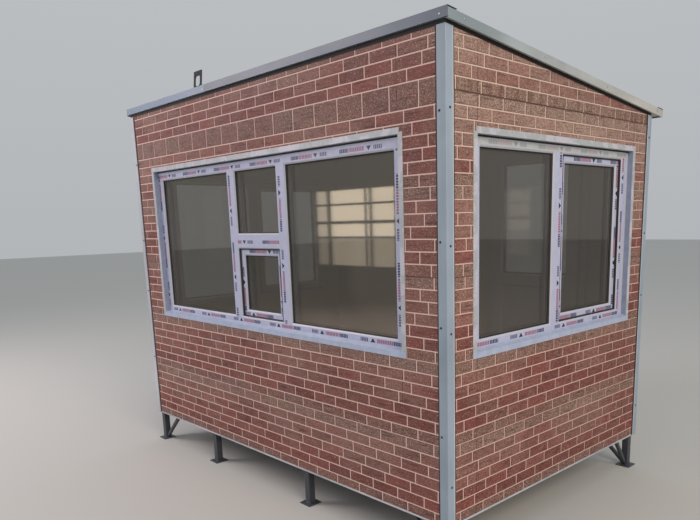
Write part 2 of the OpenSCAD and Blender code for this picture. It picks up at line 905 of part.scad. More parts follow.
foot_plates();
front_legs();
back_legs();
leg_braces();
front_base_rail();
back_base_rail();
left_base_rail();
right_base_rail();
floor_joists();
floor_deck();
front_siding();
front_wall();
right_siding();
right_wall();
back_siding();
back_wall();
left_siding();
left_wall();
corner_trim_front_right();
corner_trim_front_left();
corner_trim_back_right();
corner_trim_back_left();
base_flashings();
front_window_casing();
front_window_frame();
front_window_sash();
front_window_glass();
right_window_casing();
right_window_frame();
right_window_sash();
right_window_glass();
left_window_casing();
left_window_frame();
left_window_sash();
left_window_glass();
door_casing();
door_frame();
door_threshold();
door_leaf();
door_glass();
door_panel();
door_handle();
roof_board();
roof_panel();
roof_sheet();
front_fascia();
back_fascia();
right_verge();
left_verge();
lifting_lugs();
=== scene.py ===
"""Security guard booth: the finish of every surface, and its bricks, films, seals, screws and welds."""

import itertools
import math
import random

import bmesh
import bpy
from mathutils import Matrix, Vector


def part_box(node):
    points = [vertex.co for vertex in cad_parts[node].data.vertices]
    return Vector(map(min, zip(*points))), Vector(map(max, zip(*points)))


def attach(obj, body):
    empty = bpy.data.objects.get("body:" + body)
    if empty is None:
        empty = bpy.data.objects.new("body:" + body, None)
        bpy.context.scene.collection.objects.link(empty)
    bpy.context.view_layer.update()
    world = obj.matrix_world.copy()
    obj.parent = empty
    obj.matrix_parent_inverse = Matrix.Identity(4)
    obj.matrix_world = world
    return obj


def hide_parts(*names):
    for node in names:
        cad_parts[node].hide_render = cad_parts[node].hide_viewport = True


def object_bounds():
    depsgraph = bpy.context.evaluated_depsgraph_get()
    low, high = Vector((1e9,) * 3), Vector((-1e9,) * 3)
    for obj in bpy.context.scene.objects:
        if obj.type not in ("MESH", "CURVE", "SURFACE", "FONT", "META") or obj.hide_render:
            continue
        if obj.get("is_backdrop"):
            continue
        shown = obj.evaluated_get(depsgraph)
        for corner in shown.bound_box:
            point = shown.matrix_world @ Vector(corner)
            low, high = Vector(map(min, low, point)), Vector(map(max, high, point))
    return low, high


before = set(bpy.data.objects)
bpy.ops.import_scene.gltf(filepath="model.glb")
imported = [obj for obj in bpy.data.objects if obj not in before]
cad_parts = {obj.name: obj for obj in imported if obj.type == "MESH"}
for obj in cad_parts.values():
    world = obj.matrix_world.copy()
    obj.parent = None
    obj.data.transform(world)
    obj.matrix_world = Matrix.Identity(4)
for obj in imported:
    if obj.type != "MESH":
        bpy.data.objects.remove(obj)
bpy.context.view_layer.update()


# Camera
# The photograph's own view, found from the booth's corners, courses and window lines. The lens axis meets the
# picture right of its middle and low, so the picture is shifted that far.
PICTURE_W, PICTURE_H = 700, 520
AXIS_PX, AXIS_PY = 384.8, 353.6
FOCAL_PX = 658.9
SENSOR_MM = 36
EYE = (3.2804, -3.0883, 1.5933)
HEADING, TILT, ROLL = (math.radians(angle) for angle in (46.179, 90 - 11.333, -1.4585))


def new_object(name, data):
    made = bpy.data.objects.new(name, data)
    bpy.context.scene.collection.objects.link(made)
    return made


lens = bpy.data.cameras.new("camera")
lens.sensor_width = SENSOR_MM
lens.lens = SENSOR_MM * FOCAL_PX / PICTURE_W
lens.shift_x = (PICTURE_W / 2 - AXIS_PX) / PICTURE_W
lens.shift_y = (AXIS_PY - PICTURE_H / 2) / PICTURE_W
camera = new_object("camera", lens)
camera.matrix_world = (Matrix.Translation(EYE) @ Matrix.Rotation(HEADING, 4, "Z")
                       @ Matrix.Rotation(TILT, 4, "X") @ Matrix.Rotation(ROLL, 4, "Z"))
bpy.context.scene.camera = camera


# Studio floor and lights
# A plain pale matt floor under a pale overcast dome, with a broad soft light from the right, as on a hazy
# day, and a weaker one from the front left. Soft panels far out are what the wide window mirrors.
def linear(colour):
    """An sRGB hex colour as linear red, green, blue and alpha."""
    parts = [int(colour[i : i + 2], 16) / 255 for i in (0, 2, 4)]
    return (*(c / 12.92 if c <= 0.04045 else ((c + 0.055) / 1.055) ** 2.4 for c in parts), 1)


def fill(node, values):
    """Fills a node's settings and sockets, by name or number, each with a number, a word, an sRGB hex colour
    or another node's output, which is linked in."""
    for key, value in values.items():
        if isinstance(value, bpy.types.NodeSocket):
            node.id_data.links.new(value, node.inputs[key])
        elif isinstance(key, str) and hasattr(node, key):
            setattr(node, key, value)
        else:
            node.inputs[key].default_value = linear(value) if isinstance(value, str) else value


def add(tree, kind, values=None, out=None):
    """Adds a node, fills it and returns the output that is named, or else its first. A second word in its
    kind is a Math node's operation or a Mix node's blend. In a Mix node, socket 0 is the share, 6 the colour
    at none of it and 7 the colour at all of it."""
    kind, *mode = kind.split()
    node = tree.nodes.new("ShaderNode" + kind)
    if kind == "Mix":
        node.data_type = "RGBA"
    if mode:
        setattr(node, "blend_type" if kind == "Mix" else "operation", mode[0])
    fill(node, values or {})
    return node.outputs[out] if out else next(socket for socket in node.outputs if socket.enabled)


def new_material(name, settings):
    """A material with one Principled shader and its fixed settings. Returns the material and its node
    tree."""
    made = bpy.data.materials.new(name)
    made.use_nodes = True
    to_shader(made.node_tree, settings)
    return made, made.node_tree


def to_shader(tree, values):
    """Fills the sockets of a material's shader."""
    fill(tree.nodes["Principled BSDF"], values)


def light(name, place, target, size, watts, colour):
    """A soft light of some width and height that points at a target."""
    lamp = bpy.data.lights.new(name, "AREA")
    lamp.shape = "RECTANGLE"
    lamp.size, lamp.size_y = size
    lamp.energy = watts
    lamp.color = linear(colour)[:3]
    placed = new_object(name, lamp)
    placed.location = place
    placed.rotation_euler = (Vector(target) - Vector(place)).to_track_quat("-Z", "Y").to_euler()


DOME_STRENGTH = 0.72
bpy.context.scene.view_settings.view_transform = "Standard"
world = bpy.data.worlds.new("overcast_dome")
bpy.context.scene.world = world
world.use_nodes = True
sky = world.node_tree
height = add(sky, "SeparateXYZ", {0: add(sky, "TexCoord", out="Generated")}, out="Z")
rise = add(sky, "MapRange", {"Value": height, "From Min": -0.1, "From Max": 0.8})
dome = add(sky, "Mix", {0: rise, 6: "CDD1D3", 7: "E4E9EE"})
fill(sky.nodes["Background"], {"Color": dome, "Strength": DOME_STRENGTH})

BOOTH_MIDDLE = (0, 0, 1)
light("right_light", (8.6, -2.6, 5.8), BOOTH_MIDDLE, (4.8, 4.8), 525, "FFF0E0")
light("front_light", (-5.6, -5.2, 4.8), BOOTH_MIDDLE, (3.4, 3.4), 290, "FFF0F4")
PANEL_Y = -5.6
PANEL_WATTS = 8.0
PANEL_COLUMNS = ((-5.24, 0.25, 0.62), (-4.62, 0.79, 1.0), (-4.14, 0.05, 1.0), (-3.82, 0.46, 1.0))
PANEL_ROWS = ((1.985, 0.20, 1.0), (1.735, 0.235, 1.0), (1.475, 0.19, 1.0), (1.14, 0.42, 0.36))
for (x, wide, column_share), (z, high, row_share) in itertools.product(PANEL_COLUMNS, PANEL_ROWS):
    light("window_panel", (x, PANEL_Y, z), (x, 0, z), (wide, high),
          PANEL_WATTS * column_share * row_share * wide * high, "FFFAEA")

FLOOR_HALF = 40
floor_paint, _ = new_material("matt_floor_paint", {"Base Color": "BDBCB8", "Roughness": 0.8})
floor_mesh = bpy.data.meshes.new("studio_floor")
floor_corners = [(x * FLOOR_HALF, y * FLOOR_HALF, 0) for x, y in ((-1, -1), (1, -1), (1, 1), (-1, 1))]
floor_mesh.from_pydata(floor_corners, [], [(0, 1, 2, 3)])
floor_mesh.materials.append(floor_paint)
new_object("studio_floor", floor_mesh)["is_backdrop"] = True


# Legs, foot plates and braces
# Square steel tube legs on cut plates, with angle braces, of carbon steel, arc welded and brushed with a dark
# blue-grey paint. The welds show as rippled beads round the foot of each leg.
def new_shape():
    return {"points": [], "faces": [], "finishes": [], "uvs": []}


def put(shape, points, faces, place=Matrix(), finish=0):
    """Adds a closed form to a shape, at a place, with the number of its material."""
    start = len(shape["points"])
    shape["points"] += [place @ Vector(p) for p in points]
    inside_out = place.determinant() < 0
    for face in faces:
        corners = [start + i for i in face]
        shape["faces"].append(corners[::-1] if inside_out else corners)
        shape["finishes"].append(finish)


def tube(sides, steps=1, flipped=False):
    """The faces of a closed tube: its two ends, then its sides, one ring for each step from end to end."""
    last = steps * sides
    faces = [list(range(sides))[::-1], list(range(last, last + sides))]
    for low in range(0, last, sides):
        faces += [[low + k, low + (k + 1) % sides, low + sides + (k + 1) % sides, low + sides + k]
                  for k in range(sides)]
    return [face[::-1] for face in faces] if flipped else faces


def fit(made, slot, *nodes):
    """Fixes a piece to the booth. It may stand for CAD nodes."""
    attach(made, "root")
    if nodes:
        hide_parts(*nodes)
    return made


def make_piece(name, shape, finishes, slot, *nodes, smooth=None):
    """A piece made of a shape. Where it is smooth, edges sharper than that angle stay sharp."""
    mesh = bpy.data.meshes.new(name)
    mesh.from_pydata(shape["points"], [], shape["faces"])
    for finish in finishes:
        mesh.materials.append(finish)
    mesh.polygons.foreach_set("material_index", shape["finishes"])
    if smooth:
        mesh.polygons.foreach_set("use_smooth", [True] * len(mesh.polygons))
        mesh.set_sharp_from_angle(angle=math.radians(smooth))
    if shape["uvs"]:
        for loop, uv in zip(mesh.uv_layers.new(name="UVMap").data, shape["uvs"]):
            loop.uv = uv
    return fit(new_object(name, mesh), slot, *nodes)


# Two points of a mesh this near are one
SAME_POINT = 2e-5
FLAT_ANGLE = math.radians(0.5)
SHARP_ANGLE = math.radians(40)


def softened(node, kind, finish, slot, edge, lowered=None):
    """A copy of a CAD node's mesh with its flat faces joined and its edges rounded, which stands for the
    node. The corners in a part of it, given as a box in its wall's own frame, may be lowered by some way."""
    made = new_object(node + kind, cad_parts[node].data.copy())
    work = bmesh.new()
    work.from_mesh(made.data)
    bmesh.ops.remove_doubles(work, verts=work.verts, dist=SAME_POINT)
    bmesh.ops.dissolve_limit(work, angle_limit=FLAT_ANGLE, verts=work.verts, edges=work.edges)
    if lowered:
        side, depth, low, high, drop = lowered
        for vert in work.verts:
            spot = WALLS[side].inverted() @ vert.co
            if spot.y > depth and low < spot.z < high:
                vert.co.z -= drop
    for face in work.faces:
        face.smooth = False
    work.to_mesh(made.data)
    work.free()
    if edge:
        round_edges = made.modifiers.new("round_edges", "BEVEL")
        round_edges.width = edge
        round_edges.segments = 2
        round_edges.limit_method = "ANGLE"
        round_edges.angle_limit = SHARP_ANGLE
    made.data.materials.clear()
    made.data.materials.append(finish)
    fit(made, slot, node)


def islands(node):
    """The lowest and highest corner of each separate solid of a CAD node."""
    work = bmesh.new()
    work.from_mesh(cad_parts[node].data)
    bmesh.ops.remove_doubles(work, verts=work.verts, dist=SAME_POINT)
    left = set(work.verts)
    boxes = []
    while left:
        group, waiting = [], [left.pop()]
        while waiting:
            vert = waiting.pop()
            group.append(vert.co)
            for edge in vert.link_edges:
                other = edge.other_vert(vert)
                if other in left:
                    left.discard(other)
                    waiting.append(other)
        boxes.append([Vector(pick(spot[i] for spot in group) for i in range(3)) for pick in (min, max)])
    work.free()
    return sorted(boxes, key=lambda box: (round(box[0].x, 3), round(box[0].y, 3), box[0].z))


# A weld bead's sides, the length of a ripple, its thickness, ripples, chance and ends as shares of its radius
BEAD_SIDES = 8
BEAD_STEP = 0.6
BEAD_BULGE, BEAD_RIPPLE, BEAD_CHANCE = 0.88, 0.16, 0.1
BEAD_END = 0.45
FEWEST_RINGS = 6


def weld_bead(shape, start, end, radius, rng):
    """A rippled bead of weld from one point to another, in rings of points that shrink at both ends."""
    start, end = Vector(start), Vector(end)
    along = (end - start).normalized()
    side = along.orthogonal().normalized()
    other = along.cross(side)
    rings = max(FEWEST_RINGS, round((end - start).length / (BEAD_STEP * radius)))
    points = []
    for i in range(rings + 1):
        bulge = radius * (BEAD_BULGE + BEAD_RIPPLE * (i % 2) + BEAD_CHANCE * rng.uniform(-1, 1))
        if i in (0, rings):
            bulge *= BEAD_END
        for angle in (math.tau * k / BEAD_SIDES for k in range(BEAD_SIDES)):
            round_it = math.cos(angle) * side + math.sin(angle) * other
            points.append(start.lerp(end, i / rings) + bulge * round_it)
    put(shape, points, tube(BEAD_SIDES, rings))


# Millimetres in a metre
MM = 1000


def clouded(name, dark, pale, size, detail, settings, coarse=0.5):
    """A material whose colour drifts between two near tones, in clouds of one size in millimetres or of one
    each along x, y and z. A texture's scale is how many of its marks make a metre. Returns the material, its
    node tree, the place on the object, the clouds and the colour."""
    made, tree = new_material(name, settings)
    place = add(tree, "TexCoord", out="Object")
    sizes = size if isinstance(size, tuple) else (size, size, size)
    scaled = add(tree, "Mapping", {"Vector": place, "Scale": [MM / along for along in sizes]})
    clouds = add(tree, "TexNoise", {"Vector": scaled, "Scale": 1.0, "Detail": detail, "Roughness": coarse})
    tones = add(tree, "Mix", {0: clouds, 6: dark, 7: pale})
    to_shader(tree, {"Base Color": tones})
    return made, tree, place, clouds, tones


# The brush leaves patches 71 mm wide, duller where it was dry, and rust comes through in specks of 18 mm
steel_paint, tree, place, patches, tones = clouded(
    "brushed_dark_steel_paint", "2B2E35", "4B4F57", 71.4, 6, {}, 0.65)
rust = add(tree, "TexNoise", {"Vector": place, "Scale": MM / 18.18, "Detail": 8, "Roughness": 0.7})
rust_share = add(tree, "MapRange", {"Value": rust, "From Min": 0.6, "From Max": 0.7, "To Max": 0.55})
rusty = add(tree, "Mix", {0: rust_share, 6: tones, 7: "5A4436"})
matt = add(tree, "MapRange", {"Value": patches, "To Min": 0.38, "To Max": 0.68})
brush = add(tree, "Bump", {"Height": rust, "Strength": 0.25, "Distance": 0.0004})
to_shader(tree, {"Base Color": rusty, "Roughness": matt, "Normal": brush})
for steel_node in ("foot_plates", "front_legs", "back_legs", "leg_braces"):
    softened(steel_node, "_painted", steel_paint, "dark_steel", 0.0015)

WELD_R = 0.004
BEAD_RISE = 0.3
welds = new_shape()
rng = random.Random(5)
for leg_node in ("front_legs", "back_legs"):
    for low, high in islands(leg_node):
        z = low.z + WELD_R * BEAD_RISE
        foot = [(low.x, low.y, z), (high.x, low.y, z), (high.x, high.y, z), (low.x, high.y, z)]
        for a, b in zip(foot, foot[1:] + foot[:1]):
            weld_bead(welds, a, b, WELD_R, rng)
make_piece("leg_welds", welds, [steel_paint], "dark_steel", smooth=50)


# Base frame
# Rails and joists of folded steel under the walls and the floor, welded on top of the legs. They are brushed
# with the same dark paint.
def coat(finish, *nodes):
    """Gives CAD nodes, which keep their own shape, one finish."""
    for node in nodes:
        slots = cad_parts[node].data.materials
        slots.clear()
        slots.append(finish)


coat(steel_paint, "front_base_rail", "back_base_rail", "left_base_rail", "right_base_rail", "floor_joists")


# Floor deck
# Cement-bonded board, laid in sheets on the joists. It is matt and grey-brown, with wood chips of 6 mm in its
# face.
deck_board, tree, place, _, board = clouded(
    "cement_bonded_board", "7C7467", "9A9182", 333, 5, {"Roughness": 0.75})
chips = add(tree, "TexVoronoi", {"Vector": place, "Scale": MM / 6.25}, out="Color")
chipped = add(tree, "Mix MULTIPLY", {0: 0.18, 6: board, 7: chips})
to_shader(tree, {"Base Color": chipped})
coat(deck_board, "floor_deck")


# Inner walls and roof panel
# Foam-cored panels faced with off-white coated sheet, with a fine stucco of 2.4 mm pressed in it that keeps
# its shine soft, and faint grime.
lining, tree, place, _, _ = clouded("off_white_coated_panel", "B8AF9F", "C9C1B2", 588, 6, {"Roughness": 0.42})
stucco = add(tree, "TexNoise", {"Vector": place, "Scale": MM / 2.38, "Detail": 2})
pressed = add(tree, "Bump", {"Height": stucco, "Strength": 0.15, "Distance": 0.0004})
to_shader(tree, {"Normal": pressed})
coat(lining, "front_wall", "right_wall", "back_wall", "left_wall", "roof_panel")


# Brick siding
# Pressed boards of seven brick courses each, coated sheet over foam, fixed one over the other. The bricks
# stand proud of a pale mortar ground.
FOOT_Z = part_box("front_siding")[0].z
FRONT_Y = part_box("front_siding")[0].y
BACK_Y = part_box("back_siding")[1].y
SIDE_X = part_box("right_siding")[1].x
FRONT_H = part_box("front_siding")[1].z - FOOT_Z
BACK_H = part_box("back_siding")[1].z - FOOT_Z
FALL = (FRONT_H - BACK_H) / (BACK_Y - FRONT_Y)
MIRRORED = Matrix.Scale(-1, 4, (1, 0, 0))
MIDDLE_Y = (FRONT_Y + BACK_Y) / 2
RIGHT_WALL = Matrix.Translation((SIDE_X, MIDDLE_Y, FOOT_Z)) @ Matrix.Rotation(math.pi / 2, 4, "Z")
WALLS = {
    "front": Matrix.Translation((0, FRONT_Y, FOOT_Z)),
    "right": RIGHT_WALL,
    "back": Matrix.Translation((0, BACK_Y, FOOT_Z)) @ Matrix.Rotation(math.pi, 4, "Z"),
    "left": MIRRORED @ RIGHT_WALL,
}
# Next to a board's edge the bricks are pebbled, and the mortar line between two boards is thin or missing
BOARD_COURSES = 7
COURSE = 0.380 / BOARD_COURSES
BED_JOINT, HEAD_JOINT = 0.0052, 0.0064
SIDE_JOINTS = 0.90
RELIEF = 0.0016
SUNK = 0.0006
FACE_DEPTH = 0.0012
BRICK_EDGE = 0.0017
SLIVER_EDGE = BRICK_EDGE / 9
SMALLEST_BRICK = 0.004
JOINT_PITCH = 0.175
JOINT_STEPS = (0.092, 0.025, 0.113, 0.147, 0.055, 0.007, 0.090)
THIN_SEAMS = (7, 14, 28)
OVER_THIN_SEAM, UNDER_THIN_SEAM = 0.0016, 0.0034
MIDDLE_SEAM, TOP_SEAM = 21, 35
MIDDLE_SEAM_GAP = 0.0007
STEP_SAND = (-0.06, -0.35, -0.15, 0.05, 0.10, 0.15, 0.30)
SAND_SPREAD = 0.05
PLAIN_PEBBLE = 0.12
ODD_PEBBLE = 0.45
ODD_SHARE = 0.3
# The third finish is painted shade, on the bricks' flanks and on the strips in the seams
MORTAR_NO, BRICK_NO, SHADED_FLANK_NO = 0, 1, 2


def clipped(outline, along_u, along_z, limit):
    """The part of a convex outline where along_u * u + along_z * z is at most limit."""
    kept = []
    for a, b in zip(outline, outline[1:] + outline[:1]):
        over_a = along_u * a[0] + along_z * a[1] - limit
        over_b = along_u * b[0] + along_z * b[1] - limit
        if over_a <= 0:
            kept.append(a)
        if over_a * over_b < 0:
            share = over_a / (over_a - over_b)
            kept.append((a[0] + share * (b[0] - a[0]), a[1] + share * (b[1] - a[1])))
    return kept


def without(outline, hole):
    """The convex pieces of an outline that lie outside a rectangular hole."""
    if len(outline) < 3:
        return []
    u0, u1, z0, z1 = hole
    between = clipped(clipped(outline, 1, 0, u1), -1, 0, -u0)
    pieces = [clipped(outline, 1, 0, u0), clipped(outline, -1, 0, -u1), clipped(between, 0, 1, z0),
              clipped(between, 0, -1, -z1)]
    return [piece for piece in pieces if len(piece) > 2]


def drawn_in(outline, by):
    """A convex outline with every side moved in. Empty if too little is left."""
    if min(max(p[i] for p in outline) - min(p[i] for p in outline) for i in (0, 1)) < 4 * by:
        return []
    inner = outline
    for a, b in zip(outline, outline[1:] + outline[:1]):
        length = math.hypot(b[0] - a[0], b[1] - a[1])
        if length > 1e-6:
            out_u, out_z = (b[1] - a[1]) / length, (a[0] - b[0]) / length
            inner = clipped(inner, out_u, out_z, out_u * a[0] + out_z * a[1] - by)
    return inner if len(inner) == len(outline) else []


def brick_siding(side, near_end, pitch, board_shifts, hole, seed, board_sand, top_gap):
    """The bricks of one wall on their mortar ground. The joints are measured from its end at -u or +u, each
    board's are shifted, and the hole (u0, u1, z0, z1) is that of the window or door. Each board has its own
    share of sandy bricks, most along its top. Two seams have no mortar line, only a gap with a strip of
    painted shade in it. Where the top one is wide the course over it is stained, and where it is closed the
    courses beside it read as one."""
    rng = random.Random(seed)
    place = WALLS[side]
    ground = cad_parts[side + "_siding"].data
    moved = [place.inverted() @ vert.co for vert in ground.vertices]
    for p in moved:
        if p.y < FACE_DEPTH:
            p.y += RELIEF
    half = max(abs(p.x) for p in moved)
    top = max(p.z for p in moved)
    turn = -1 if place.determinant() < 0 else 1
    shape = new_shape()
    put(shape, moved, [list(face.vertices)[::turn] for face in ground.polygons], place, MORTAR_NO)
    marks = {name: [0.0] * len(shape["faces"]) for name in ("tone", "pebble", "sand", "stain")}

    def lay(outline, face, depth, finish, *values):
        """A prism on the mortar ground, its flanks in painted shade, and the marks that its material reads.
        """
        count = len(outline)
        points = [(u, RELIEF + SUNK, z) for u, z in outline] + [(u, depth, z) for u, z in face]
        put(shape, points, tube(count), place, finish)
        shape["finishes"][-count:] = [SHADED_FLANK_NO] * count
        for mark, value in zip(marks.values(), values):
            mark += [value] * (count + 2)

    def parts_of(u0, u1, z0, z1):
        """What the roof's slope and the hole leave of a rectangle."""
        slope = 0 if side in ("front", "back") else FALL
        outline = clipped([(u0, z0), (u1, z0), (u1, z1), (u0, z1)], slope, 1, top - slope * half)
        return without(outline, hole)

    # Each seam's gap holds a strip in painted shade instead of a mortar line
    gaps = {MIDDLE_SEAM: MIDDLE_SEAM_GAP}
    if top_gap:
        gaps[TOP_SEAM] = top_gap
    for seam, gap in gaps.items():
        for part in parts_of(-half, half, seam * COURSE - gap, seam * COURSE + gap):
            lay(part, part, RELIEF / 2, SHADED_FLANK_NO, 0.0, 0.0, 0.0, 0.0)

    joints = SIDE_JOINTS if side in ("right", "left") else 1
    bed, head = BED_JOINT * joints / 2, HEAD_JOINT * joints / 2
    for course in range(math.ceil(top / COURSE)):
        if course + 1 == TOP_SEAM and not top_gap:
            continue
        board, step = divmod(course, BOARD_COURSES)
        first_course = course - 1 if course == TOP_SEAM and not top_gap else course
        low = first_course * COURSE + gaps.get(course, bed)
        high = (course + 1) * COURSE - gaps.get(course + 1, bed)
        if course in THIN_SEAMS:
            low += OVER_THIN_SEAM
        if course + 1 in THIN_SEAMS:
            high += UNDER_THIN_SEAM
        corner = 2 * half if near_end > 0 else 0
        first = (corner + JOINT_STEPS[step] * pitch / JOINT_PITCH + board_shifts[board]) % pitch - pitch
        for n in range(int(2 * half / pitch) + 2):
            start = max(first + n * pitch + head, 0.0)
            end = min(first + (n + 1) * pitch - head, 2 * half)
            tone, luck, speck = rng.random(), rng.random(), rng.random()
            if end - start < SMALLEST_BRICK:
                continue
            pebble = (ODD_PEBBLE if luck < ODD_SHARE else PLAIN_PEBBLE) * speck
            if step in (0, BOARD_COURSES - 1):
                pebble = 1 - ODD_PEBBLE + ODD_PEBBLE * luck
            sand = board_sand[board] + STEP_SAND[step] + rng.uniform(-SAND_SPREAD, SAND_SPREAD)
            stain = float(course == TOP_SEAM and top_gap > MIDDLE_SEAM_GAP)
            for part in parts_of(start - half, end - half, low, high):
                face = drawn_in(part, BRICK_EDGE) or drawn_in(part, SLIVER_EDGE)
                if face:
                    lay(part, face, 0, BRICK_NO, tone, pebble, sand, stain)
    finishes = [mortar, brick, painted_flank_shade]
    siding = make_piece(side + "_brick_siding", shape, finishes, "brick_siding", side + "_siding")
    for name, values in marks.items():
        siding.data.attributes.new("brick_" + name, "FLOAT", "FACE").data.foreach_set("value", values)


# Mortar printed in a matt pinkish beige, its grains drawn coarse at 4 mm, so the lines stay crisp and pale.
# On the side walls it is a little darker, and dustier with height.
mortar, tree, place, _, pink = clouded("printed_mortar", "CDA89E", "E6C6BC", 3.846, 3, {"Roughness": 0.8})
height = add(tree, "SeparateXYZ", {0: place}, out="Z")
dusty = add(tree, "MapRange", {"Value": height, "From Min": 1.3, "From Max": 2.3, "To Max": 0.8})
facing = add(tree, "SeparateXYZ", {0: add(tree, "NewGeometry", out="Normal")}, out="X")
on_side = add(tree, "Math ABSOLUTE", {0: facing})
side_dust = add(tree, "Math MULTIPLY", {0: dusty, 1: on_side})
greyed = add(tree, "Mix MULTIPLY", {0: on_side, 6: pink, 7: "F2EEEC"})
dusted = add(tree, "Mix", {0: side_dust, 6: greyed, 7: "CAB5A6"})
to_shader(tree, {"Base Color": dusted})

# The pressed flanks of the bricks and the strips in the gaps between boards are painted dark as shade, in
# clouds of 17 mm, which gives each brick a thin dark outline
painted_flank_shade, *_ = clouded("brick_flank_painted_shade", "3A2623", "62423A", 16.67, 4, {"Roughness": 0.85})

# Brick faces in a matt red-brown coating, sprayed unevenly over the pressed grain of 6 mm, with sandy drifts
# of 770 mm and clouds of 90 mm. Pale stones 5 mm apart lie in it, more of them on the pebbled bricks. Some
# bricks are dragged in dark lines 8 mm high, and a stain runs down in streaks 26 mm wide.
brick, tree = new_material("pressed_brick_face", {"Roughness": 0.72})
place = add(tree, "TexCoord", out="Object")
tone, pebbled, sanded, stained = (add(tree, "Attribute", {"attribute_name": "brick_" + name}, out="Fac")
                                  for name in ("tone", "pebble", "sand", "stain"))
drift, cloud, grain = (
    add(tree, "TexNoise", {"Vector": place, "Scale": MM / size, "Detail": detail, "Roughness": 0.6})
    for size, detail in ((769.2, 4), (90.91, 4), (5.882, 2)))
stones = add(tree, "TexVoronoi", {"Vector": place, "Scale": MM / 5.263})
stone_colour = stones.node.outputs["Color"]
drags, streaks = (
    add(tree, "TexNoise",
        {"Vector": add(tree, "Mapping", {"Vector": place, "Scale": [MM / size for size in sizes]}),
         "Scale": 1.0, "Detail": 3, "Roughness": 0.6})
    for sizes in ((111.1, 111.1, 7.692), (26.32, 26.32, 200)))

drifted = add(tree, "MapRange",
              {"Value": drift, "From Min": 0.42, "From Max": 0.64, "To Min": -0.12, "To Max": 0.22})
sandy = add(tree, "Math ADD", {0: drifted, 1: sanded, "use_clamp": True})
cloudy = add(tree, "MapRange", {"Value": cloud, "From Min": 0.42, "From Max": 0.75, "To Max": 0.35})
edged = add(tree, "Math MULTIPLY", {0: pebbled, 1: 0.45})
stone_top = add(tree, "MapRange", {"Value": stones, "From Min": 0.5, "From Max": 0.1})
stone_luck = add(tree, "SeparateColor", {0: stone_colour})
stone_limit = add(tree, "MapRange", {"Value": pebbled, "To Min": 0.86, "To Max": 0.42})
stone_shown = add(tree, "Math GREATER_THAN", {0: stone_luck, 1: stone_limit})
pale_stone = add(tree, "Math MULTIPLY", {0: stone_top, 1: stone_shown})
pit = add(tree, "MapRange", {"Value": stones, "From Min": 0.35, "From Max": 0.6})
pitted = add(tree, "Math MULTIPLY", {0: pit, 1: pebbled})
dragged = add(tree, "MapRange", {"Value": drags, "From Min": 0.56, "From Max": 0.68, "To Max": 0.75})
streaked = add(tree, "MapRange", {"Value": streaks, "From Min": 0.45, "From Max": 0.62})
run_down = add(tree, "Math MULTIPLY", {0: streaked, 1: stained})

face = add(tree, "Mix", {0: tone, 6: "69332D", 7: "7F433B"})
for colour, share, blend in (
    ("A18A7D", sandy, "MIX"), ("80625A", cloudy, "MIX"), ("8B7468", edged, "MIX"),
    ("B89F92", pale_stone, "MIX"), ("D2C9C4", pitted, "MULTIPLY"), ("8E7C78", dragged, "MULTIPLY"),
    ("D4C8BC", run_down, "MULTIPLY"),
):
    face = add(tree, "Mix " + blend, {0: share, 6: face, 7: colour})
shade = add(tree, "MapRange",
            {"Value": grain, "From Min": 0.3, "From Max": 0.7, "To Min": 0.42, "To Max": 1.53})
grained = add(tree, "Mix MULTIPLY", {0: 1.0, 6: face, 7: shade})

stone_height = add(tree, "Math MULTIPLY", {0: stone_top, 1: pebbled})
with_drags = add(tree, "Math MULTIPLY_ADD", {0: dragged, 1: -0.5, 2: stone_height})
with_grain = add(tree, "Math MULTIPLY_ADD", {0: grain, 1: 0.35, 2: with_drags})
rough_face = add(tree, "Bump", {"Height": with_grain, "Strength": 0.6, "Distance": 0.0012})
to_shader(tree, {"Base Color": grained, "Normal": rough_face})

brick_siding("front", near_end=1, pitch=0.175, board_shifts=(0.000, 0.075, 0.012, 0.170, 0.105, 0.109),
             hole=(-1.181, 1.181, 0.790, 1.754), seed=11,
             board_sand=(-0.02, -0.05, -0.03, -0.02, 0.02, 0.12), top_gap=0)
brick_siding("right", near_end=-1, pitch=0.169, board_shifts=(0.153, 0.075, 0.021, 0.007, 0.117, 0.128),
             hole=(-0.717, 0.717, 0.790, 1.743), seed=12,
             board_sand=(-0.03, -0.04, 0.02, 0.26, 0.54, 0.72), top_gap=0.0022)
brick_siding("left", near_end=-1, pitch=0.172, board_shifts=(0.050, 0.125, 0.062, 0.020, 0.155, 0.159),
             hole=(-0.717, 0.717, 0.790, 1.743), seed=13,
             board_sand=(0.10, 0.08, 0.10, 0.20, 0.35, 0.30), top_gap=0.0015)
brick_siding("back", near_end=1, pitch=0.172, board_shifts=(0.030, 0.105, 0.042, 0.010, 0.135, 0.139),
             hole=(-1.115, -0.325, 0.0, 1.885), seed=14,
             board_sand=(0.08, 0.08, 0.10, 0.15, 0.20, 0.25), top_gap=0)


# Trim sheet
# Steel sheet, zinc coated, painted blue-grey at the mill and folded on a bench, drawn 1 mm thick. It has a
# satin shine, faint runs of dust, and blotches 320 mm wide where its film has been pulled off.
def sheet_material(name, dark, pale, runs):
    """Painted sheet in two near tones, with the size of its runs along x, y and z. Returns the material, its
    node tree, the place on the object and the colour."""
    made, tree, place, streaks, tones = clouded(name, dark, pale, runs, 5, {}, 0.6)
    blotch = add(tree, "TexNoise", {"Vector": place, "Scale": MM / 322.6, "Detail": 3})
    both = add(tree, "Math MULTIPLY_ADD", {0: streaks, 1: 0.6, 2: blotch})
    fill(tones.node, {0: add(tree, "MapRange", {"Value": both, "From Min": 0.6, "From Max": 1.0})})
    satin = add(tree, "MapRange", {"Value": streaks, "To Min": 0.32, "To Max": 0.52})
    wavy = add(tree, "Bump", {"Height": blotch, "Strength": 0.12, "Distance": 0.002})
    to_shader(tree, {"Roughness": satin, "Normal": wavy})
    return made, tree, place, tones


TRIM_RUNS = (71.43, 71.43, 1250)
trim_paint, *_ = sheet_material("blue_grey_coated_sheet", "808D9A", "94A2AF", TRIM_RUNS)


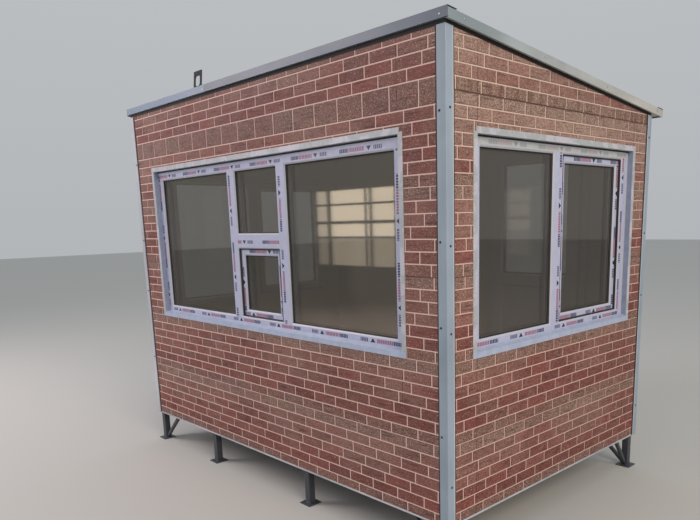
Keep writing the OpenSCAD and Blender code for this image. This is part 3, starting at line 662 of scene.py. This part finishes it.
# Corner trims
# One folded strip at each corner, screwed through both flanges. The fold has a 4 mm radius, and each edge is
# turned back to the siding.
CORNER_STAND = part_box("corner_trim_front_right")[1].x - SIDE_X
CORNER_FACE = SIDE_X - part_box("corner_trim_front_right")[0].x
SHEET_T = 0.001
FOLD_R = 0.004
FOLD_STEPS = 6
SIDEWAYS = 0.7
# The side flanges are painted paler, as painted light on the side walls, and both flanges of the front left
# trim carry a milky film that has begun to come off
side_flange_painted_light, *_ = sheet_material("blue_grey_sheet_with_painted_light", "8795A5", "9BA9B9", TRIM_RUNS)
milky_trim, *_ = sheet_material("blue_grey_sheet_under_milky_film", "A2A4AC", "BFBEC4", TRIM_RUNS)


def corner_fold():
    """The trim's outline seen from above, with the siding's corner at the origin and its flanges in -x and
    +y."""
    s, t, f, r = CORNER_STAND, SHEET_T, CORNER_FACE, FOLD_R
    turns = [math.radians(-90 + 90 * i / FOLD_STEPS) for i in range(FOLD_STEPS + 1)]
    outer = [(s - r + r * math.cos(a), r - s + r * math.sin(a)) for a in turns]
    inner = [(s - r + (r - t) * math.cos(a), r - s + (r - t) * math.sin(a)) for a in turns]
    front_flange = [(-f, 0), (-f, -s)]
    side_flange = [(s, f), (0, f), (0, f - t), (s - t, f - t)]
    return front_flange + outer + side_flange + inner[::-1] + [(t - f, t - s), (t - f, 0)]


def roof_height(y):
    """Height of the top of the walls above their foot, at a place from front to back."""
    return FRONT_H - FALL * (y - FRONT_Y)


def corner_trim(node, place, on_front, on_side):
    """A folded strip from the foot of the walls to the roof, with the paint of its front or back flange and
    that of its side flange."""
    fold = corner_fold()
    shape = new_shape()
    foot = [place @ Vector((x, y, 0)) for x, y in fold]
    points = foot + [p + Vector((0, 0, roof_height(p.y))) for p in foot]
    faces = tube(len(fold), flipped=place.determinant() < 0)
    put(shape, points, faces)
    for number, face in enumerate(faces):
        a, b, c = (points[i] for i in face[:3])
        # Faces turned to the side walls take the painted light
        if abs((b - a).cross(c - b).normalized().x) > SIDEWAYS:
            shape["finishes"][number] = 1
    make_piece(node + "_folded", shape, [on_front, on_side], "trim_sheet", node, smooth=40)


front_corner = Matrix.Translation((SIDE_X, FRONT_Y, FOOT_Z))
back_corner = Matrix.Translation((SIDE_X, BACK_Y, FOOT_Z)) @ Matrix.Scale(-1, 4, (0, 1, 0))
corner_trim("corner_trim_front_right", front_corner, trim_paint, side_flange_painted_light)
corner_trim("corner_trim_front_left", MIRRORED @ front_corner, milky_trim, milky_trim)
corner_trim("corner_trim_back_right", back_corner, trim_paint, side_flange_painted_light)
corner_trim("corner_trim_back_left", MIRRORED @ back_corner, trim_paint, side_flange_painted_light)

# The hem along each side flange is painted pale in marks of 17 by 170 mm, a painted highlight on its edge,
# and a black strip of painted shadow lies between it and the bricks, its cells drawn coarse at 1.4 mm
HEM_W, HEM_H = 0.0045, 0.0012
TAPE_W, TAPE_H = 0.0080, 0.0028
TAPE_SUNK = 0.0005
ROUNDED = 0.001
FREE_END = 0.001
hem_painted_highlight, *_ = sheet_material("hem_sheet_with_painted_highlight", "A8AEB6", "D2D3D2", (16.67, 16.67, 166.7))
shadow_strip_paint, *_ = clouded("black_strip_painted_shadow", "221D22", "453C40", 1.4286, 2, {"Roughness": 0.9})
HALF_DEPTH = (BACK_Y - FRONT_Y) / 2
HALF_WIDTHS = {"front": SIDE_X, "right": HALF_DEPTH, "back": SIDE_X, "left": HALF_DEPTH}
hems, shadow_strips = new_shape(), new_shape()
for (side, half), end in itertools.product(HALF_WIDTHS.items(), (-1, 1)):
    edge, stand = half - CORNER_FACE, -CORNER_STAND
    hem = ((edge, stand), (edge + ROUNDED, stand - HEM_H), (edge + HEM_W - ROUNDED, stand - HEM_H),
           (edge + HEM_W, stand))
    shadow_strip = ((edge - TAPE_W, TAPE_SUNK), (edge - TAPE_W, ROUNDED - TAPE_H), (edge - TAPE_W + ROUNDED, -TAPE_H),
            (edge, -TAPE_H), (edge, TAPE_SUNK))
    # On the side walls the hem takes the painted highlight
    hem_finish = 1 if side in ("front", "back") else 0
    for shape, section, finish in ((hems, hem, hem_finish), (shadow_strips, shadow_strip, 0)):
        foot = [Vector((end * u, depth, FREE_END)) for u, depth in section]
        tops = [Vector((p.x, p.y, roof_height((WALLS[side] @ p).y) - FREE_END)) for p in foot]
        put(shape, foot + tops, tube(len(section), flipped=end < 0), WALLS[side], finish)
make_piece("corner_trim_hems", hems, [hem_painted_highlight, trim_paint], "trim_sheet", smooth=40)
make_piece("corner_trim_shadow_strips", shadow_strips, [shadow_strip_paint], "trim_sheet")


# Trim screws
# Self-drilling screws with a hexagon head and a pressed washer, of zinc-plated steel gone dark, with a bloom
# of 1.7 mm, driven through both flanges of every corner trim.
WASHER = ((0.0050, -0.0006), (0.0056, 0.0006), (0.0040, 0.0012))
HEX_HEAD = ((0.0034, 0.0008), (0.0035, 0.0032), (0.0027, 0.0040))
SCREW_LEVELS = {"front": (0.432, 0.925, 1.291, 1.818), "right": (0.195, 0.899, 1.274, 1.828)}
SCREW_INSETS = {"front": 0.031, "right": 0.022}
dark_zinc, *_ = clouded(
    "dulled_zinc_plate", "2C2B2B", "55524E", 1.6667, 3, {"Roughness": 0.45, "Metallic": 0.85})


def add_turned(shape, profile, sides, place):
    """A turned form from (radius, height) pairs, from its foot to the top of its head. Its place's z axis
    points out of the sheet."""
    points = [(r * math.cos(math.tau * k / sides), r * math.sin(math.tau * k / sides), h)
              for r, h in profile for k in range(sides)]
    put(shape, points, tube(sides, len(profile) - 1), place)


def add_screw(shape, place, sides=16):
    """A screw's washer and hexagon head."""
    add_turned(shape, WASHER, sides, place)
    add_turned(shape, HEX_HEAD, 6, place)


screws = new_shape()
out_of_front = Matrix.Rotation(math.pi / 2, 4, "X")
for side, like in (("front", "front"), ("right", "right"), ("back", "front"), ("left", "right")):
    for end, level in itertools.product((-1, 1), SCREW_LEVELS[like]):
        spot = Matrix.Translation((end * (HALF_WIDTHS[like] - SCREW_INSETS[like]), -CORNER_STAND, level))
        add_screw(screws, WALLS[side] @ spot @ out_of_front)
make_piece("corner_trim_screws", screws, [dark_zinc], "trim_sheet", smooth=30)


# Base flashings
# Narrow strips of the same sheet, folded and fixed under the foot of the siding. They still carry their milky
# film, so they show as a pale line along it.
coat(milky_trim, "base_flashings")


# Window and door casings
# Folded strips of the same sheet round each opening, with a face on the siding, a reveal and a sloping sill.
# The film left on them has wrinkles of 22 mm and shinier patches 110 mm wide.
WINDOW_SIDES = ("front", "right", "left")
REVEAL = 0.030
CASING_FACE = 0.028
SILL_RISE = 0.022
FOOT_DROP = 0.011
NEAR = 0.001
casing_paint, tree, place, wrinkles, cleaned = clouded(
    "casing_sheet_with_film_rests", "8B9198", "B9BDC0", 22.22, 4, {}, 0.65)
rests = add(tree, "TexNoise", {"Vector": place, "Scale": MM / 111.1, "Detail": 4, "Roughness": 0.6})
rest = add(tree, "MapRange", {"Value": rests, "From Min": 0.50, "From Max": 0.56, "To Max": 0.75})
torn = add(tree, "MapRange", {"Value": wrinkles, "From Min": 0.66, "From Max": 0.70, "To Max": 0.6})
filmed = add(tree, "Mix", {0: rest, 6: cleaned, 7: "C2BFCB"})
ragged = add(tree, "Mix", {0: torn, 6: filmed, 7: "6E6C78"})
shine = add(tree, "MapRange", {"Value": rest, "To Min": 0.42, "To Max": 0.22})
puckered = add(tree, "Bump", {"Height": wrinkles, "Strength": 0.2, "Distance": 0.001})
to_shader(tree, {"Base Color": ragged, "Roughness": shine, "Normal": puckered})


def wall_box(node, side, drop=0):
    """Lowest and highest (u, z) of a node in its wall's own frame, with its foot dropped by some way."""
    spots = [WALLS[side].inverted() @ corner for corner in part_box(node)]
    return (min(p.x for p in spots), max(p.x for p in spots), min(p.z for p in spots) - drop,
            max(p.z for p in spots))


# The foot of each window frame shows 11 mm less than its jambs, so the back of the sill comes down that far
for side in WINDOW_SIDES:
    sill_back = wall_box(side + "_window_casing", side)[2] + CASING_FACE + SILL_RISE
    softened(side + "_window_casing", "_folded", casing_paint, "trim_sheet", 0,
             (side, REVEAL - NEAR, sill_back - SHEET_T - NEAR, sill_back + NEAR, FOOT_DROP))
coat(casing_paint, "door_casing")


# Window frames and sashes
# White uPVC profiles, extruded, cut to a mitre and welded at the corners, which leaves a fine groove on each
# mitre. The plastic is smooth and slightly glossy, with marks of handling 140 mm wide.
upvc, *_ = clouded("white_upvc", "ABADB9", "C0C1CB", 142.9, 6, {"Roughness": 0.33, "IOR": 1.53}, 0.6)
PROFILE_EDGE = 0.0012
# Whatever lies between these heights above the foot of a frame or a sash comes down with it
FEET = {"_window_frame": (0.020, 0.075), "_window_sash": (-0.001, 0.060)}
for side, (kind, (low, high)) in itertools.product(WINDOW_SIDES, FEET.items()):
    foot = wall_box(side + kind, side)[2]
    lowered = (side, 0, foot + low, foot + high, FOOT_DROP)
    softened(side + kind, "_profiles", upvc, "upvc", PROFILE_EDGE, lowered)
for upvc_node in ("door_frame", "door_leaf", "door_panel"):
    softened(upvc_node, "_profiles", upvc, "upvc", PROFILE_EDGE)


# Protective film
# Clear lilac-tinted film, printed at the works and stuck along every profile's face, with creases of 30 mm.
# The print is a row of plain bars in navy, red and grey, 19 mm high, repeated every 395 mm.
FILM_T = 0.0002
PRINT_PITCH = 0.395
PRINT_HALF = 0.0095
BAR_PITCH, BAR_AT, BAR_HALF = 0.0125, 0.0050, 0.0048
BAR_GROUPS = ((0.0327, 0.0327, "17174A", 0.95), (0.123, 0.0548, "8C2848", 0.80),
              (0.2686, 0.0284, "33365C", 0.85))
MARK_AT = 0.2075
MARK_SLOPE = 0.75


def film_material(name, dark, pale, ink_share):
    """Printed film in two near tones. The ink's share is less where painted glare washes the print out."""
    made, tree, _, creases, printed = clouded(name, dark, pale, 29.41, 4, {"Roughness": 0.25}, 0.6)
    strip = add(tree, "SeparateXYZ", {0: add(tree, "UVMap")}).node.outputs
    in_group = add(tree, "Math MODULO", {0: strip["X"], 1: PRINT_PITCH})
    in_bar = add(tree, "Math MODULO", {0: strip["X"], 1: BAR_PITCH})
    bar = add(tree, "Math COMPARE", {0: in_bar, 1: BAR_AT, 2: BAR_HALF})
    row = add(tree, "Math COMPARE", {0: strip["Y"], 1: 0.0, 2: PRINT_HALF})
    bars = add(tree, "Math MULTIPLY", {0: bar, 1: row})
    for centre, half_length, ink, strength in BAR_GROUPS:
        group = add(tree, "Math COMPARE", {0: in_group, 1: centre, 2: half_length})
        inked = add(tree, "Math MULTIPLY", {0: group, 1: bars})
        share = add(tree, "Math MULTIPLY", {0: inked, 1: strength * ink_share})
        printed = add(tree, "Mix", {0: share, 6: printed, 7: ink})
    from_mark = add(tree, "Math SUBTRACT", {0: in_group, 1: MARK_AT})
    mark_along = add(tree, "Math ABSOLUTE", {0: from_mark})
    mark_half = add(tree, "Math MULTIPLY_ADD", {0: strip["Y"], 1: MARK_SLOPE, 2: PRINT_HALF})
    in_mark = add(tree, "Math LESS_THAN", {0: mark_along, 1: mark_half})
    mark = add(tree, "Math MULTIPLY", {0: in_mark, 1: row})
    share = add(tree, "Math MULTIPLY", {0: mark, 1: ink_share})
    marked = add(tree, "Mix", {0: share, 6: printed, 7: "15152C"})
    loose = add(tree, "Bump", {"Height": creases, "Strength": 0.3, "Distance": 0.001})
    to_shader(tree, {"Base Color": marked, "Normal": loose})
    return made


# The second film is painted glare, grey and with its print washed out, for the head bars of the side windows
films = [film_material("printed_protective_film", "A2A5C2", "BBBFD6", 1.0),
         film_material("protective_film_under_painted_glare", "A6AAAD", "BCBFC1", 0.42)]


def film_strip(shape, side, start, end, width, depth, mark, print_at=0.0, finish=0):
    """A strip of film on a wall's profile from start to end (u, z), at a depth into the wall. One printed
    mark lies at a known distance from its start, and the print may be off its middle. Its UV runs along it,
    in metres."""
    a, b = Vector((start[0], 0, start[1])), Vector((end[0], 0, end[1]))
    run = (b - a).normalized()
    over = run.cross(Vector((0, 1, 0)))
    length = (b - a).length
    corners = [(0, -width / 2), (length, -width / 2), (length, width / 2), (0, width / 2)]
    points = [a + s * run + w * over + Vector((0, depth + face, 0))
              for face in (-FILM_T, FILM_T) for s, w in corners]
    faces = tube(4, flipped=True)
    put(shape, points, faces, WALLS[side], finish)
    begin = (MARK_AT - mark) % PRINT_PITCH
    uvs = [(begin + s, w - print_at) for s, w in corners] * 2
    turn = -1 if WALLS[side].determinant() < 0 else 1
    shape["uvs"] += [uvs[i] for face in faces for i in face[::turn]]


def film_ring(shape, side, box, inset, width, depth, marks, print_at=(0, 0, 0, 0), foot=True, glare_head_finish=0):
    """Film on the four bars of a ring, clockwise from the head's left end, laid edge to edge. Each bar is
    given the place of one printed mark, along the wall for the head and foot and up it for the jambs."""
    u0, u1, z0, z1 = box
    u0, u1, low, high, half = u0 + inset, u1 - inset, z0 + inset, z1 - inset, width / 2
    jamb_low = low + half if foot else z0
    jamb_high = high - half
    bars = [((u0 - half, high), (u1 + half, high), marks[0] - u0 + half, glare_head_finish),
            ((u1, jamb_high), (u1, jamb_low), jamb_high - marks[1], 0),
            ((u1 + half, low), (u0 - half, low), u1 + half - marks[2], 0),
            ((u0, jamb_low), (u0, jamb_high), marks[3] - jamb_low, 0)]
    for number, (start, end, mark, finish) in enumerate(bars):
        if number != 2 or foot:
            film_strip(shape, side, start, end, width, depth, mark, print_at[number], finish)


# The frame's ring shows 65 mm, its mullion 90 mm, and a sash 40 mm behind the frame's 14 mm lip. The row of
# print lies to one side of the middle of most bars, as the bars were cut and turned.
LIP = 0.014
CHAMFER = 0.008
RING_FACE = 0.065
MULLION_W = 0.090
SASH_FACE = 0.040
SASH_LAP = 0.008
BARE_EDGE = 0.0005
RING_FILM = 0.050
RING_INSET = RING_FACE - CHAMFER - RING_FILM / 2 - BARE_EDGE
RING_PRINT = (-0.0085, -0.0085, -0.0095, 0.010)
MULLION_FILM = MULLION_W - 2 * CHAMFER - 2 * BARE_EDGE
SASH_FILM = 0.030
SASH_INSET = SASH_LAP + (SASH_FACE - CHAMFER) / 2
MIDDLE_BAY = 0.414
TRANSOM_Z = 1.290
shape = new_shape()
ring_box = wall_box("front_window_frame", "front", FOOT_DROP)
film_ring(shape, "front", ring_box, RING_INSET, RING_FILM, REVEAL, (0.172, 1.383, 0.1645, 1.306), RING_PRINT)
bar_foot, bar_head = ring_box[2] + RING_FACE - CHAMFER, ring_box[3] - RING_FACE + CHAMFER
bar_u = (MIDDLE_BAY + MULLION_W) / 2
bay_u = MIDDLE_BAY / 2 + CHAMFER
for start, end, mark, print_at in (
    ((-bar_u, bar_head), (-bar_u, bar_foot), bar_head - 1.468, -0.015),
    ((bar_u, bar_foot), (bar_u, bar_head), 1.155 - bar_foot, 0.012),
    ((-bay_u, TRANSOM_Z), (bay_u, TRANSOM_Z), bay_u - 0.141, -0.006),
):
    film_strip(shape, "front", start, end, MULLION_FILM, REVEAL, mark, print_at)
sash_box = wall_box("front_window_sash", "front", FOOT_DROP)
film_ring(shape, "front", sash_box, SASH_INSET, SASH_FILM, REVEAL + LIP, (0.093, 0.948, -0.110, 1.0435))
make_piece("front_window_film", shape, films, "upvc")

FIXED_LIGHT = 0.590
FRAME_EXTENSION = 0.020
for side, shift in (("right", 0.0), ("left", 0.13)):
    shape = new_shape()
    u0, u1, z0, z1 = wall_box(side + "_window_frame", side, FOOT_DROP)
    # The head bar takes the film under painted glare
    film_ring(shape, side, (u0, u1 - FRAME_EXTENSION, z0, z1), RING_INSET, RING_FILM, REVEAL,
              [mark + shift for mark in (0.001, 1.595, 0.066, 1.300)], RING_PRINT, glare_head_finish=1)
    bar_foot, bar_head = z0 + RING_FACE - CHAMFER, z1 - RING_FACE + CHAMFER
    bar_u = u0 + RING_FACE + FIXED_LIGHT + MULLION_W / 2
    film_strip(shape, side, (bar_u, bar_foot), (bar_u, bar_head), MULLION_FILM, REVEAL,
               1.439 + shift - bar_foot, -0.020)
    sash_box = wall_box(side + "_window_sash", side, FOOT_DROP)
    film_ring(shape, side, sash_box, SASH_INSET, SASH_FILM, REVEAL + LIP,
              [mark + shift for mark in (0.3515, 1.507, 0.409, 1.310)])
    make_piece(side + "_window_film", shape, films, "upvc")


# Glass
# Sealed units of solar control glass: float glass with a thin metal oxide coat. About half of what the eye
# gets from a pane is a greyed mirror image and half is the dim room behind it.
glass, _ = new_material("solar_control_glass",
                        {"Base Color": "938A80", "Roughness": 0.03, "Metallic": 1.0, "Alpha": 0.45})
coat(glass, "front_window_glass", "right_window_glass", "left_window_glass", "door_glass")


# Gaskets
# Black rubber seals: a bead that holds each pane against the lip of its profile, and a wider one in the gap
# between an opening light and the frame. Matt black with a little dust, so each pane has a dark outline.
PANE_COVER = 0.015
GLASS_BEAD = ((-0.0006, -0.0080), (0.0060, -0.0010), (0.0060, 0.0004), (-0.0006, 0.0004))
SASH_SEAL = ((-0.0006, -0.0120), (0.0030, -0.0100), (0.0060, -0.0010), (0.0060, 0.0004), (-0.0006, 0.0004))
LOW_PANE = 0.12
rubber, *_ = clouded("black_rubber_seal", "121214", "26262A", 40, 5, {"Roughness": 0.62})


def solids_in_wall(node, side):
    """Lowest and highest corners of each solid of a node in its wall's own frame."""
    for ends in islands(node):
        spots = [WALLS[side].inverted() @ end for end in ends]
        yield [Vector([pick(p[i] for p in spots) for i in range(3)]) for pick in (min, max)]


def seal(shape, side, low, high, inset, drop, depth, profile):
    """A closed ring inside a rectangle, from (inset, depth) points round its section."""
    u0, u1, z0, z1 = low.x + inset, high.x - inset, low.z + inset - drop, high.z - inset
    points = [(u, depth + d, z) for by, d in profile
              for u, z in ((u0 + by, z0 + by), (u1 - by, z0 + by), (u1 - by, z1 - by), (u0 + by, z1 - by))]
    faces = [[(start + corner) % len(points) for corner in (k, (k + 1) % 4, 4 + (k + 1) % 4, 4 + k)]
             for start in range(0, len(points), 4) for k in range(4)]
    put(shape, points, faces, WALLS[side])


for side in (*WINDOW_SIDES, "back"):
    opening, moving, drop = side + "_window", side + "_window_sash", FOOT_DROP
    if side == "back":
        opening, moving, drop = "door", "door_leaf", 0
    shape = new_shape()
    foot = wall_box(opening + "_frame", side)[2]
    for low, high in solids_in_wall(opening + "_glass", side):
        pane_drop = drop if low.z < foot + LOW_PANE else 0
        seal(shape, side, low, high, PANE_COVER, pane_drop, low.y, GLASS_BEAD)
    for low, high in solids_in_wall(moving, side):
        seal(shape, side, low, high, SASH_LAP, drop, REVEAL + LIP, SASH_SEAL)
    make_piece(opening + "_gaskets", shape, [rubber], "upvc", smooth=30)


# Head shadow strips
# A strip in the black rubber finish, in the gap between a window's head and the casing over it, is painted
# shadow: it shows as a thin dark line of shade under the casing.
HEAD_TAPE_H = 0.008
HEAD_TAPE_T = 0.0012


def bar_of(shape, side, section, ends, along=True, finish=0):
    """A bar of a four-sided section between two ends, along the wall or up it. The section is given as
    (depth, place) pairs, clockwise as seen from the bar's far end."""
    points = [(end, depth, spot) if along else (spot, depth, end) for end in ends for depth, spot in section]
    put(shape, points, tube(4, flipped=True), WALLS[side], finish)


shape = new_shape()
for side in WINDOW_SIDES:
    u0, u1, _, z1 = wall_box(side + "_window_casing", side)
    head, face = z1 - CASING_FACE, REVEAL - HEAD_TAPE_T
    section = ((face, head - HEAD_TAPE_H), (face, head), (REVEAL, head), (REVEAL, head - HEAD_TAPE_H))
    # Each strip is painted shadow under the casing's head
    bar_of(shape, side, section, (u0 + CASING_FACE, u1 - CASING_FACE))
make_piece("window_head_shadow_strips", shape, [rubber], "upvc")


# Sheet films
# The blue-tinted film that the casing sheet is sold with, left on the sloping sills, on the face below them
# and on the reveals, where it is painted darker as the shade in the recess. It has rucks 45 mm wide.
sheet_films = []
for name, dark, pale in (
    ("blue_tinted_sheet_film", "8E9AB5", "B6C1D7"), ("sheet_film_with_painted_shade", "78829B", "9CA5BD"),
):
    sheet_film, tree, _, rucks, _ = clouded(name, dark, pale, 45.45, 5, {"Roughness": 0.28})
    rucked = add(tree, "Bump", {"Height": rucks, "Strength": 0.35, "Distance": 0.001})
    to_shader(tree, {"Normal": rucked})
    sheet_films.append(sheet_film)

CLEAR = 0.0002
FILM_EDGE = 0.001
shape = new_shape()
for side in WINDOW_SIDES:
    u0, u1, z0, z1 = wall_box(side + "_window_casing", side)
    sill = z0 + CASING_FACE
    sill_back = sill + SILL_RISE - FOOT_DROP
    face, skin, back = -SHEET_T - FILM_T, -SHEET_T, REVEAL - CLEAR
    on_face = ((face, z0 + FILM_EDGE), (face, sill), (skin, sill), (skin, z0 + FILM_EDGE))
    on_sill = ((face, sill), (back, sill_back + FILM_T), (back, sill_back), (skin, sill))
    bar_of(shape, side, on_face, (u0 + FILM_EDGE, u1 - FILM_EDGE))
    bar_of(shape, side, on_sill, (u0 + CASING_FACE, u1 - CASING_FACE))
    jamb_ends = (sill_back, z1 - CASING_FACE - 2 * FILM_EDGE)
    for jamb, inward in ((u0 + CASING_FACE, 1), (u1 - CASING_FACE, -1)):
        near, far = jamb + inward * CLEAR, jamb + inward * (CLEAR + FILM_T)
        edge = REVEAL - 2 * CLEAR
        on_reveal = ((FILM_EDGE, near), (edge, near), (edge, far), (FILM_EDGE, far))
        # The reveals take the film painted darker as shade
        bar_of(shape, side, on_reveal, jamb_ends[::inward], along=False, finish=1)
make_piece("sheet_films", shape, sheet_films, "trim_sheet")


# Door
# Hinged uPVC leaf in a uPVC frame, glazed above and panelled below, with the same printed film. Its threshold
# and lever handle are mill-finish aluminium, with a brushed grain drawn coarse at 2.5 mm.
LEAF_FILM = 0.070
LEAF_MARGIN = 0.005
LEAF_INSET = SASH_LAP + LEAF_MARGIN + LEAF_FILM / 2
shape = new_shape()
film_ring(shape, "back", wall_box("door_frame", "back"), RING_INSET, RING_FILM, REVEAL,
          (-0.70, 1.11, 0, 1.02), RING_PRINT, foot=False)
film_ring(shape, "back", wall_box("door_leaf", "back"), LEAF_INSET, LEAF_FILM, REVEAL + LIP,
          (-0.62, 0.93, -0.81, 1.24))
make_piece("door_film", shape, films, "upvc")

aluminium, tree = new_material("mill_finish_aluminium", {"Base Color": "A9ABAE", "Metallic": 1.0})
place = add(tree, "TexCoord", out="Object")
drawn = add(tree, "Mapping", {"Vector": place, "Scale": [MM / size for size in (250, 2.5, 2.5)]})
lines = add(tree, "TexNoise", {"Vector": drawn, "Scale": 1.0, "Detail": 3})
brushed = add(tree, "MapRange", {"Value": lines, "To Min": 0.28, "To Max": 0.46})
to_shader(tree, {"Roughness": brushed})
for metal_node in ("door_threshold", "door_handle"):
    softened(metal_node, "_metal", aluminium, "mill_aluminium", 0.0008)


# Roof board and roof sheet
# A dark stained board, its fibres drawn coarse at 11 mm, shows as a band under the roof's edge, and its
# near-black colour is partly painted shade. The ribbed coated sheet over it has screws with washers along
# its ribs.
roof_board_stain_and_shade, *_ = clouded(
    "dark_stained_board_with_painted_shade", "1B181B", "322C2C", (333.3, 333.3, 11.11), 5, {"Roughness": 0.8})
# The board's near-black colour holds painted shade
coat(roof_board_stain_and_shade, "roof_board")
roof_coat, *_ = sheet_material("dusty_roof_sheet_coat", "8E959C", "A6ABAF", (111.1, 1111, 111.1))
coat(roof_coat, "roof_sheet")

RIB_PITCH, RIB_H = 0.250, 0.005
RIBS_EACH_SIDE = 5
SCREW_ROWS = (-0.90, -0.35, 0.25, 0.88)
ROOF_BUILD = 0.050
on_roof = Matrix.Rotation(-math.atan(FALL), 4, "X")
roof_screws = new_shape()
for rib, y in itertools.product(range(-RIBS_EACH_SIDE, RIBS_EACH_SIDE + 1), SCREW_ROWS):
    crown = FOOT_Z + roof_height(y) + ROOF_BUILD + RIB_H
    add_screw(roof_screws, Matrix.Translation((rib * RIB_PITCH, y, crown)) @ on_roof, sides=12)
make_piece("roof_screws", roof_screws, [dark_zinc], "roof_sheet", smooth=30)


# Fascias and verges
# Folded strips of the same sheet round the roof's edge, fixed with pop rivets of bare aluminium. Weather has
# dulled them more than the corner trims. The verges carry a painted sky reflection, bluish at the front and
# paler towards the back.
VERGE_HALF = 0.9
# The front fascia is of two lengths, lapped and riveted, and the left one is paler
FASCIA_LAP = -0.400
fascia_paint, tree, place, weathered = sheet_material(
    "weathered_fascia_sheet", "465664", "526172", (500, 500, 83.33))
along = add(tree, "SeparateXYZ", {0: place}, out="X")
left_length = add(tree, "Math LESS_THAN", {0: along, 1: FASCIA_LAP})
two_lengths = add(tree, "Mix", {0: left_length, 6: weathered, 7: "657A92"})
to_shader(tree, {"Base Color": two_lengths})
verge_paint, tree, place, weathered = sheet_material(
    "verge_sheet_with_painted_sky_reflection", "ABABA8", "CECDC8", (83.33, 500, 83.33))
# Painted sky reflection on the verges, bluish at the front and paler towards the back
back = add(tree, "SeparateXYZ", {0: place}, out="Y")
sky_reflection_share = add(tree, "MapRange", {"Value": back, "From Min": -VERGE_HALF, "From Max": VERGE_HALF})
sky_reflection_tint = add(tree, "Mix", {0: sky_reflection_share, 6: "BACDDA", 7: "F0EEEE"})
verge_with_sky_reflection = add(tree, "Mix MULTIPLY", {0: 1.0, 6: weathered, 7: sky_reflection_tint})
to_shader(tree, {"Base Color": verge_with_sky_reflection})
coat(fascia_paint, "front_fascia", "back_fascia")
coat(verge_paint, "right_verge", "left_verge")

RIVET = ((0.0052, -0.0005), (0.0052, 0.0003), (0.0040, 0.0012), (0.0016, 0.0016))
RIVET_DROP = 0.018
VERGE_RIVETS = (-0.873, -0.30, 0.30, 0.905)
front_face, back_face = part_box("front_fascia")[0].y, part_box("back_fascia")[1].y
side_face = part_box("right_verge")[1].x
out_of_back = Matrix.Rotation(-math.pi / 2, 4, "X")
places = [((-0.420, front_face), out_of_front), ((1.440, front_face), out_of_front),
          ((-1.430, front_face + SHEET_T), out_of_front), ((-1.430, back_face), out_of_back),
          ((1.430, back_face), out_of_back)]
places += [((end * side_face, y), Matrix.Rotation(end * math.pi / 2, 4, "Y"))
           for end in (-1, 1) for y in VERGE_RIVETS]
rivets = new_shape()
for (x, y), turned_out in places:
    height = FOOT_Z + ROOF_BUILD - RIVET_DROP + roof_height(y)
    add_turned(rivets, RIVET, 16, Matrix.Translation((x, y, height)) @ turned_out)
make_piece("edge_rivets", rivets, [aluminium], "trim_sheet", smooth=35)


# Lifting lugs
# Flame-cut steel plates, welded to the roof frame through the sheet. They are painted black, and rust comes
# through in patches of 25 mm.
LUG_W, LUG_T = 0.094, 0.006
LUG_WELD_R = 0.0035
lug_paint, tree, _, rust, tones = clouded(
    "black_paint_on_cut_steel", "1C1D20", "44332A", 25, 8, {"Roughness": 0.8}, 0.7)
rust_share = add(tree, "MapRange", {"Value": rust, "From Min": 0.55, "From Max": 0.7, "To Max": 0.6})
fill(tones.node, {0: rust_share})
softened("lifting_lugs", "_painted", lug_paint, "lug_steel", 0.001)

lug_welds = new_shape()
rng = random.Random(6)
for low, high in islands("lifting_lugs"):
    middle = (low.x + high.x) / 2
    for y in (low.y, low.y + LUG_T):
        z = FOOT_Z + roof_height(y) + ROOF_BUILD + LUG_WELD_R * BEAD_RISE
        weld_bead(lug_welds, (middle - LUG_W / 2, y, z), (middle + LUG_W / 2, y, z), LUG_WELD_R, rng)
make_piece("lug_welds", lug_welds, [lug_paint], "lug_steel", smooth=50)

bpy.context.view_layer.update()
low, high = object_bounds()
list(low)
list(high)
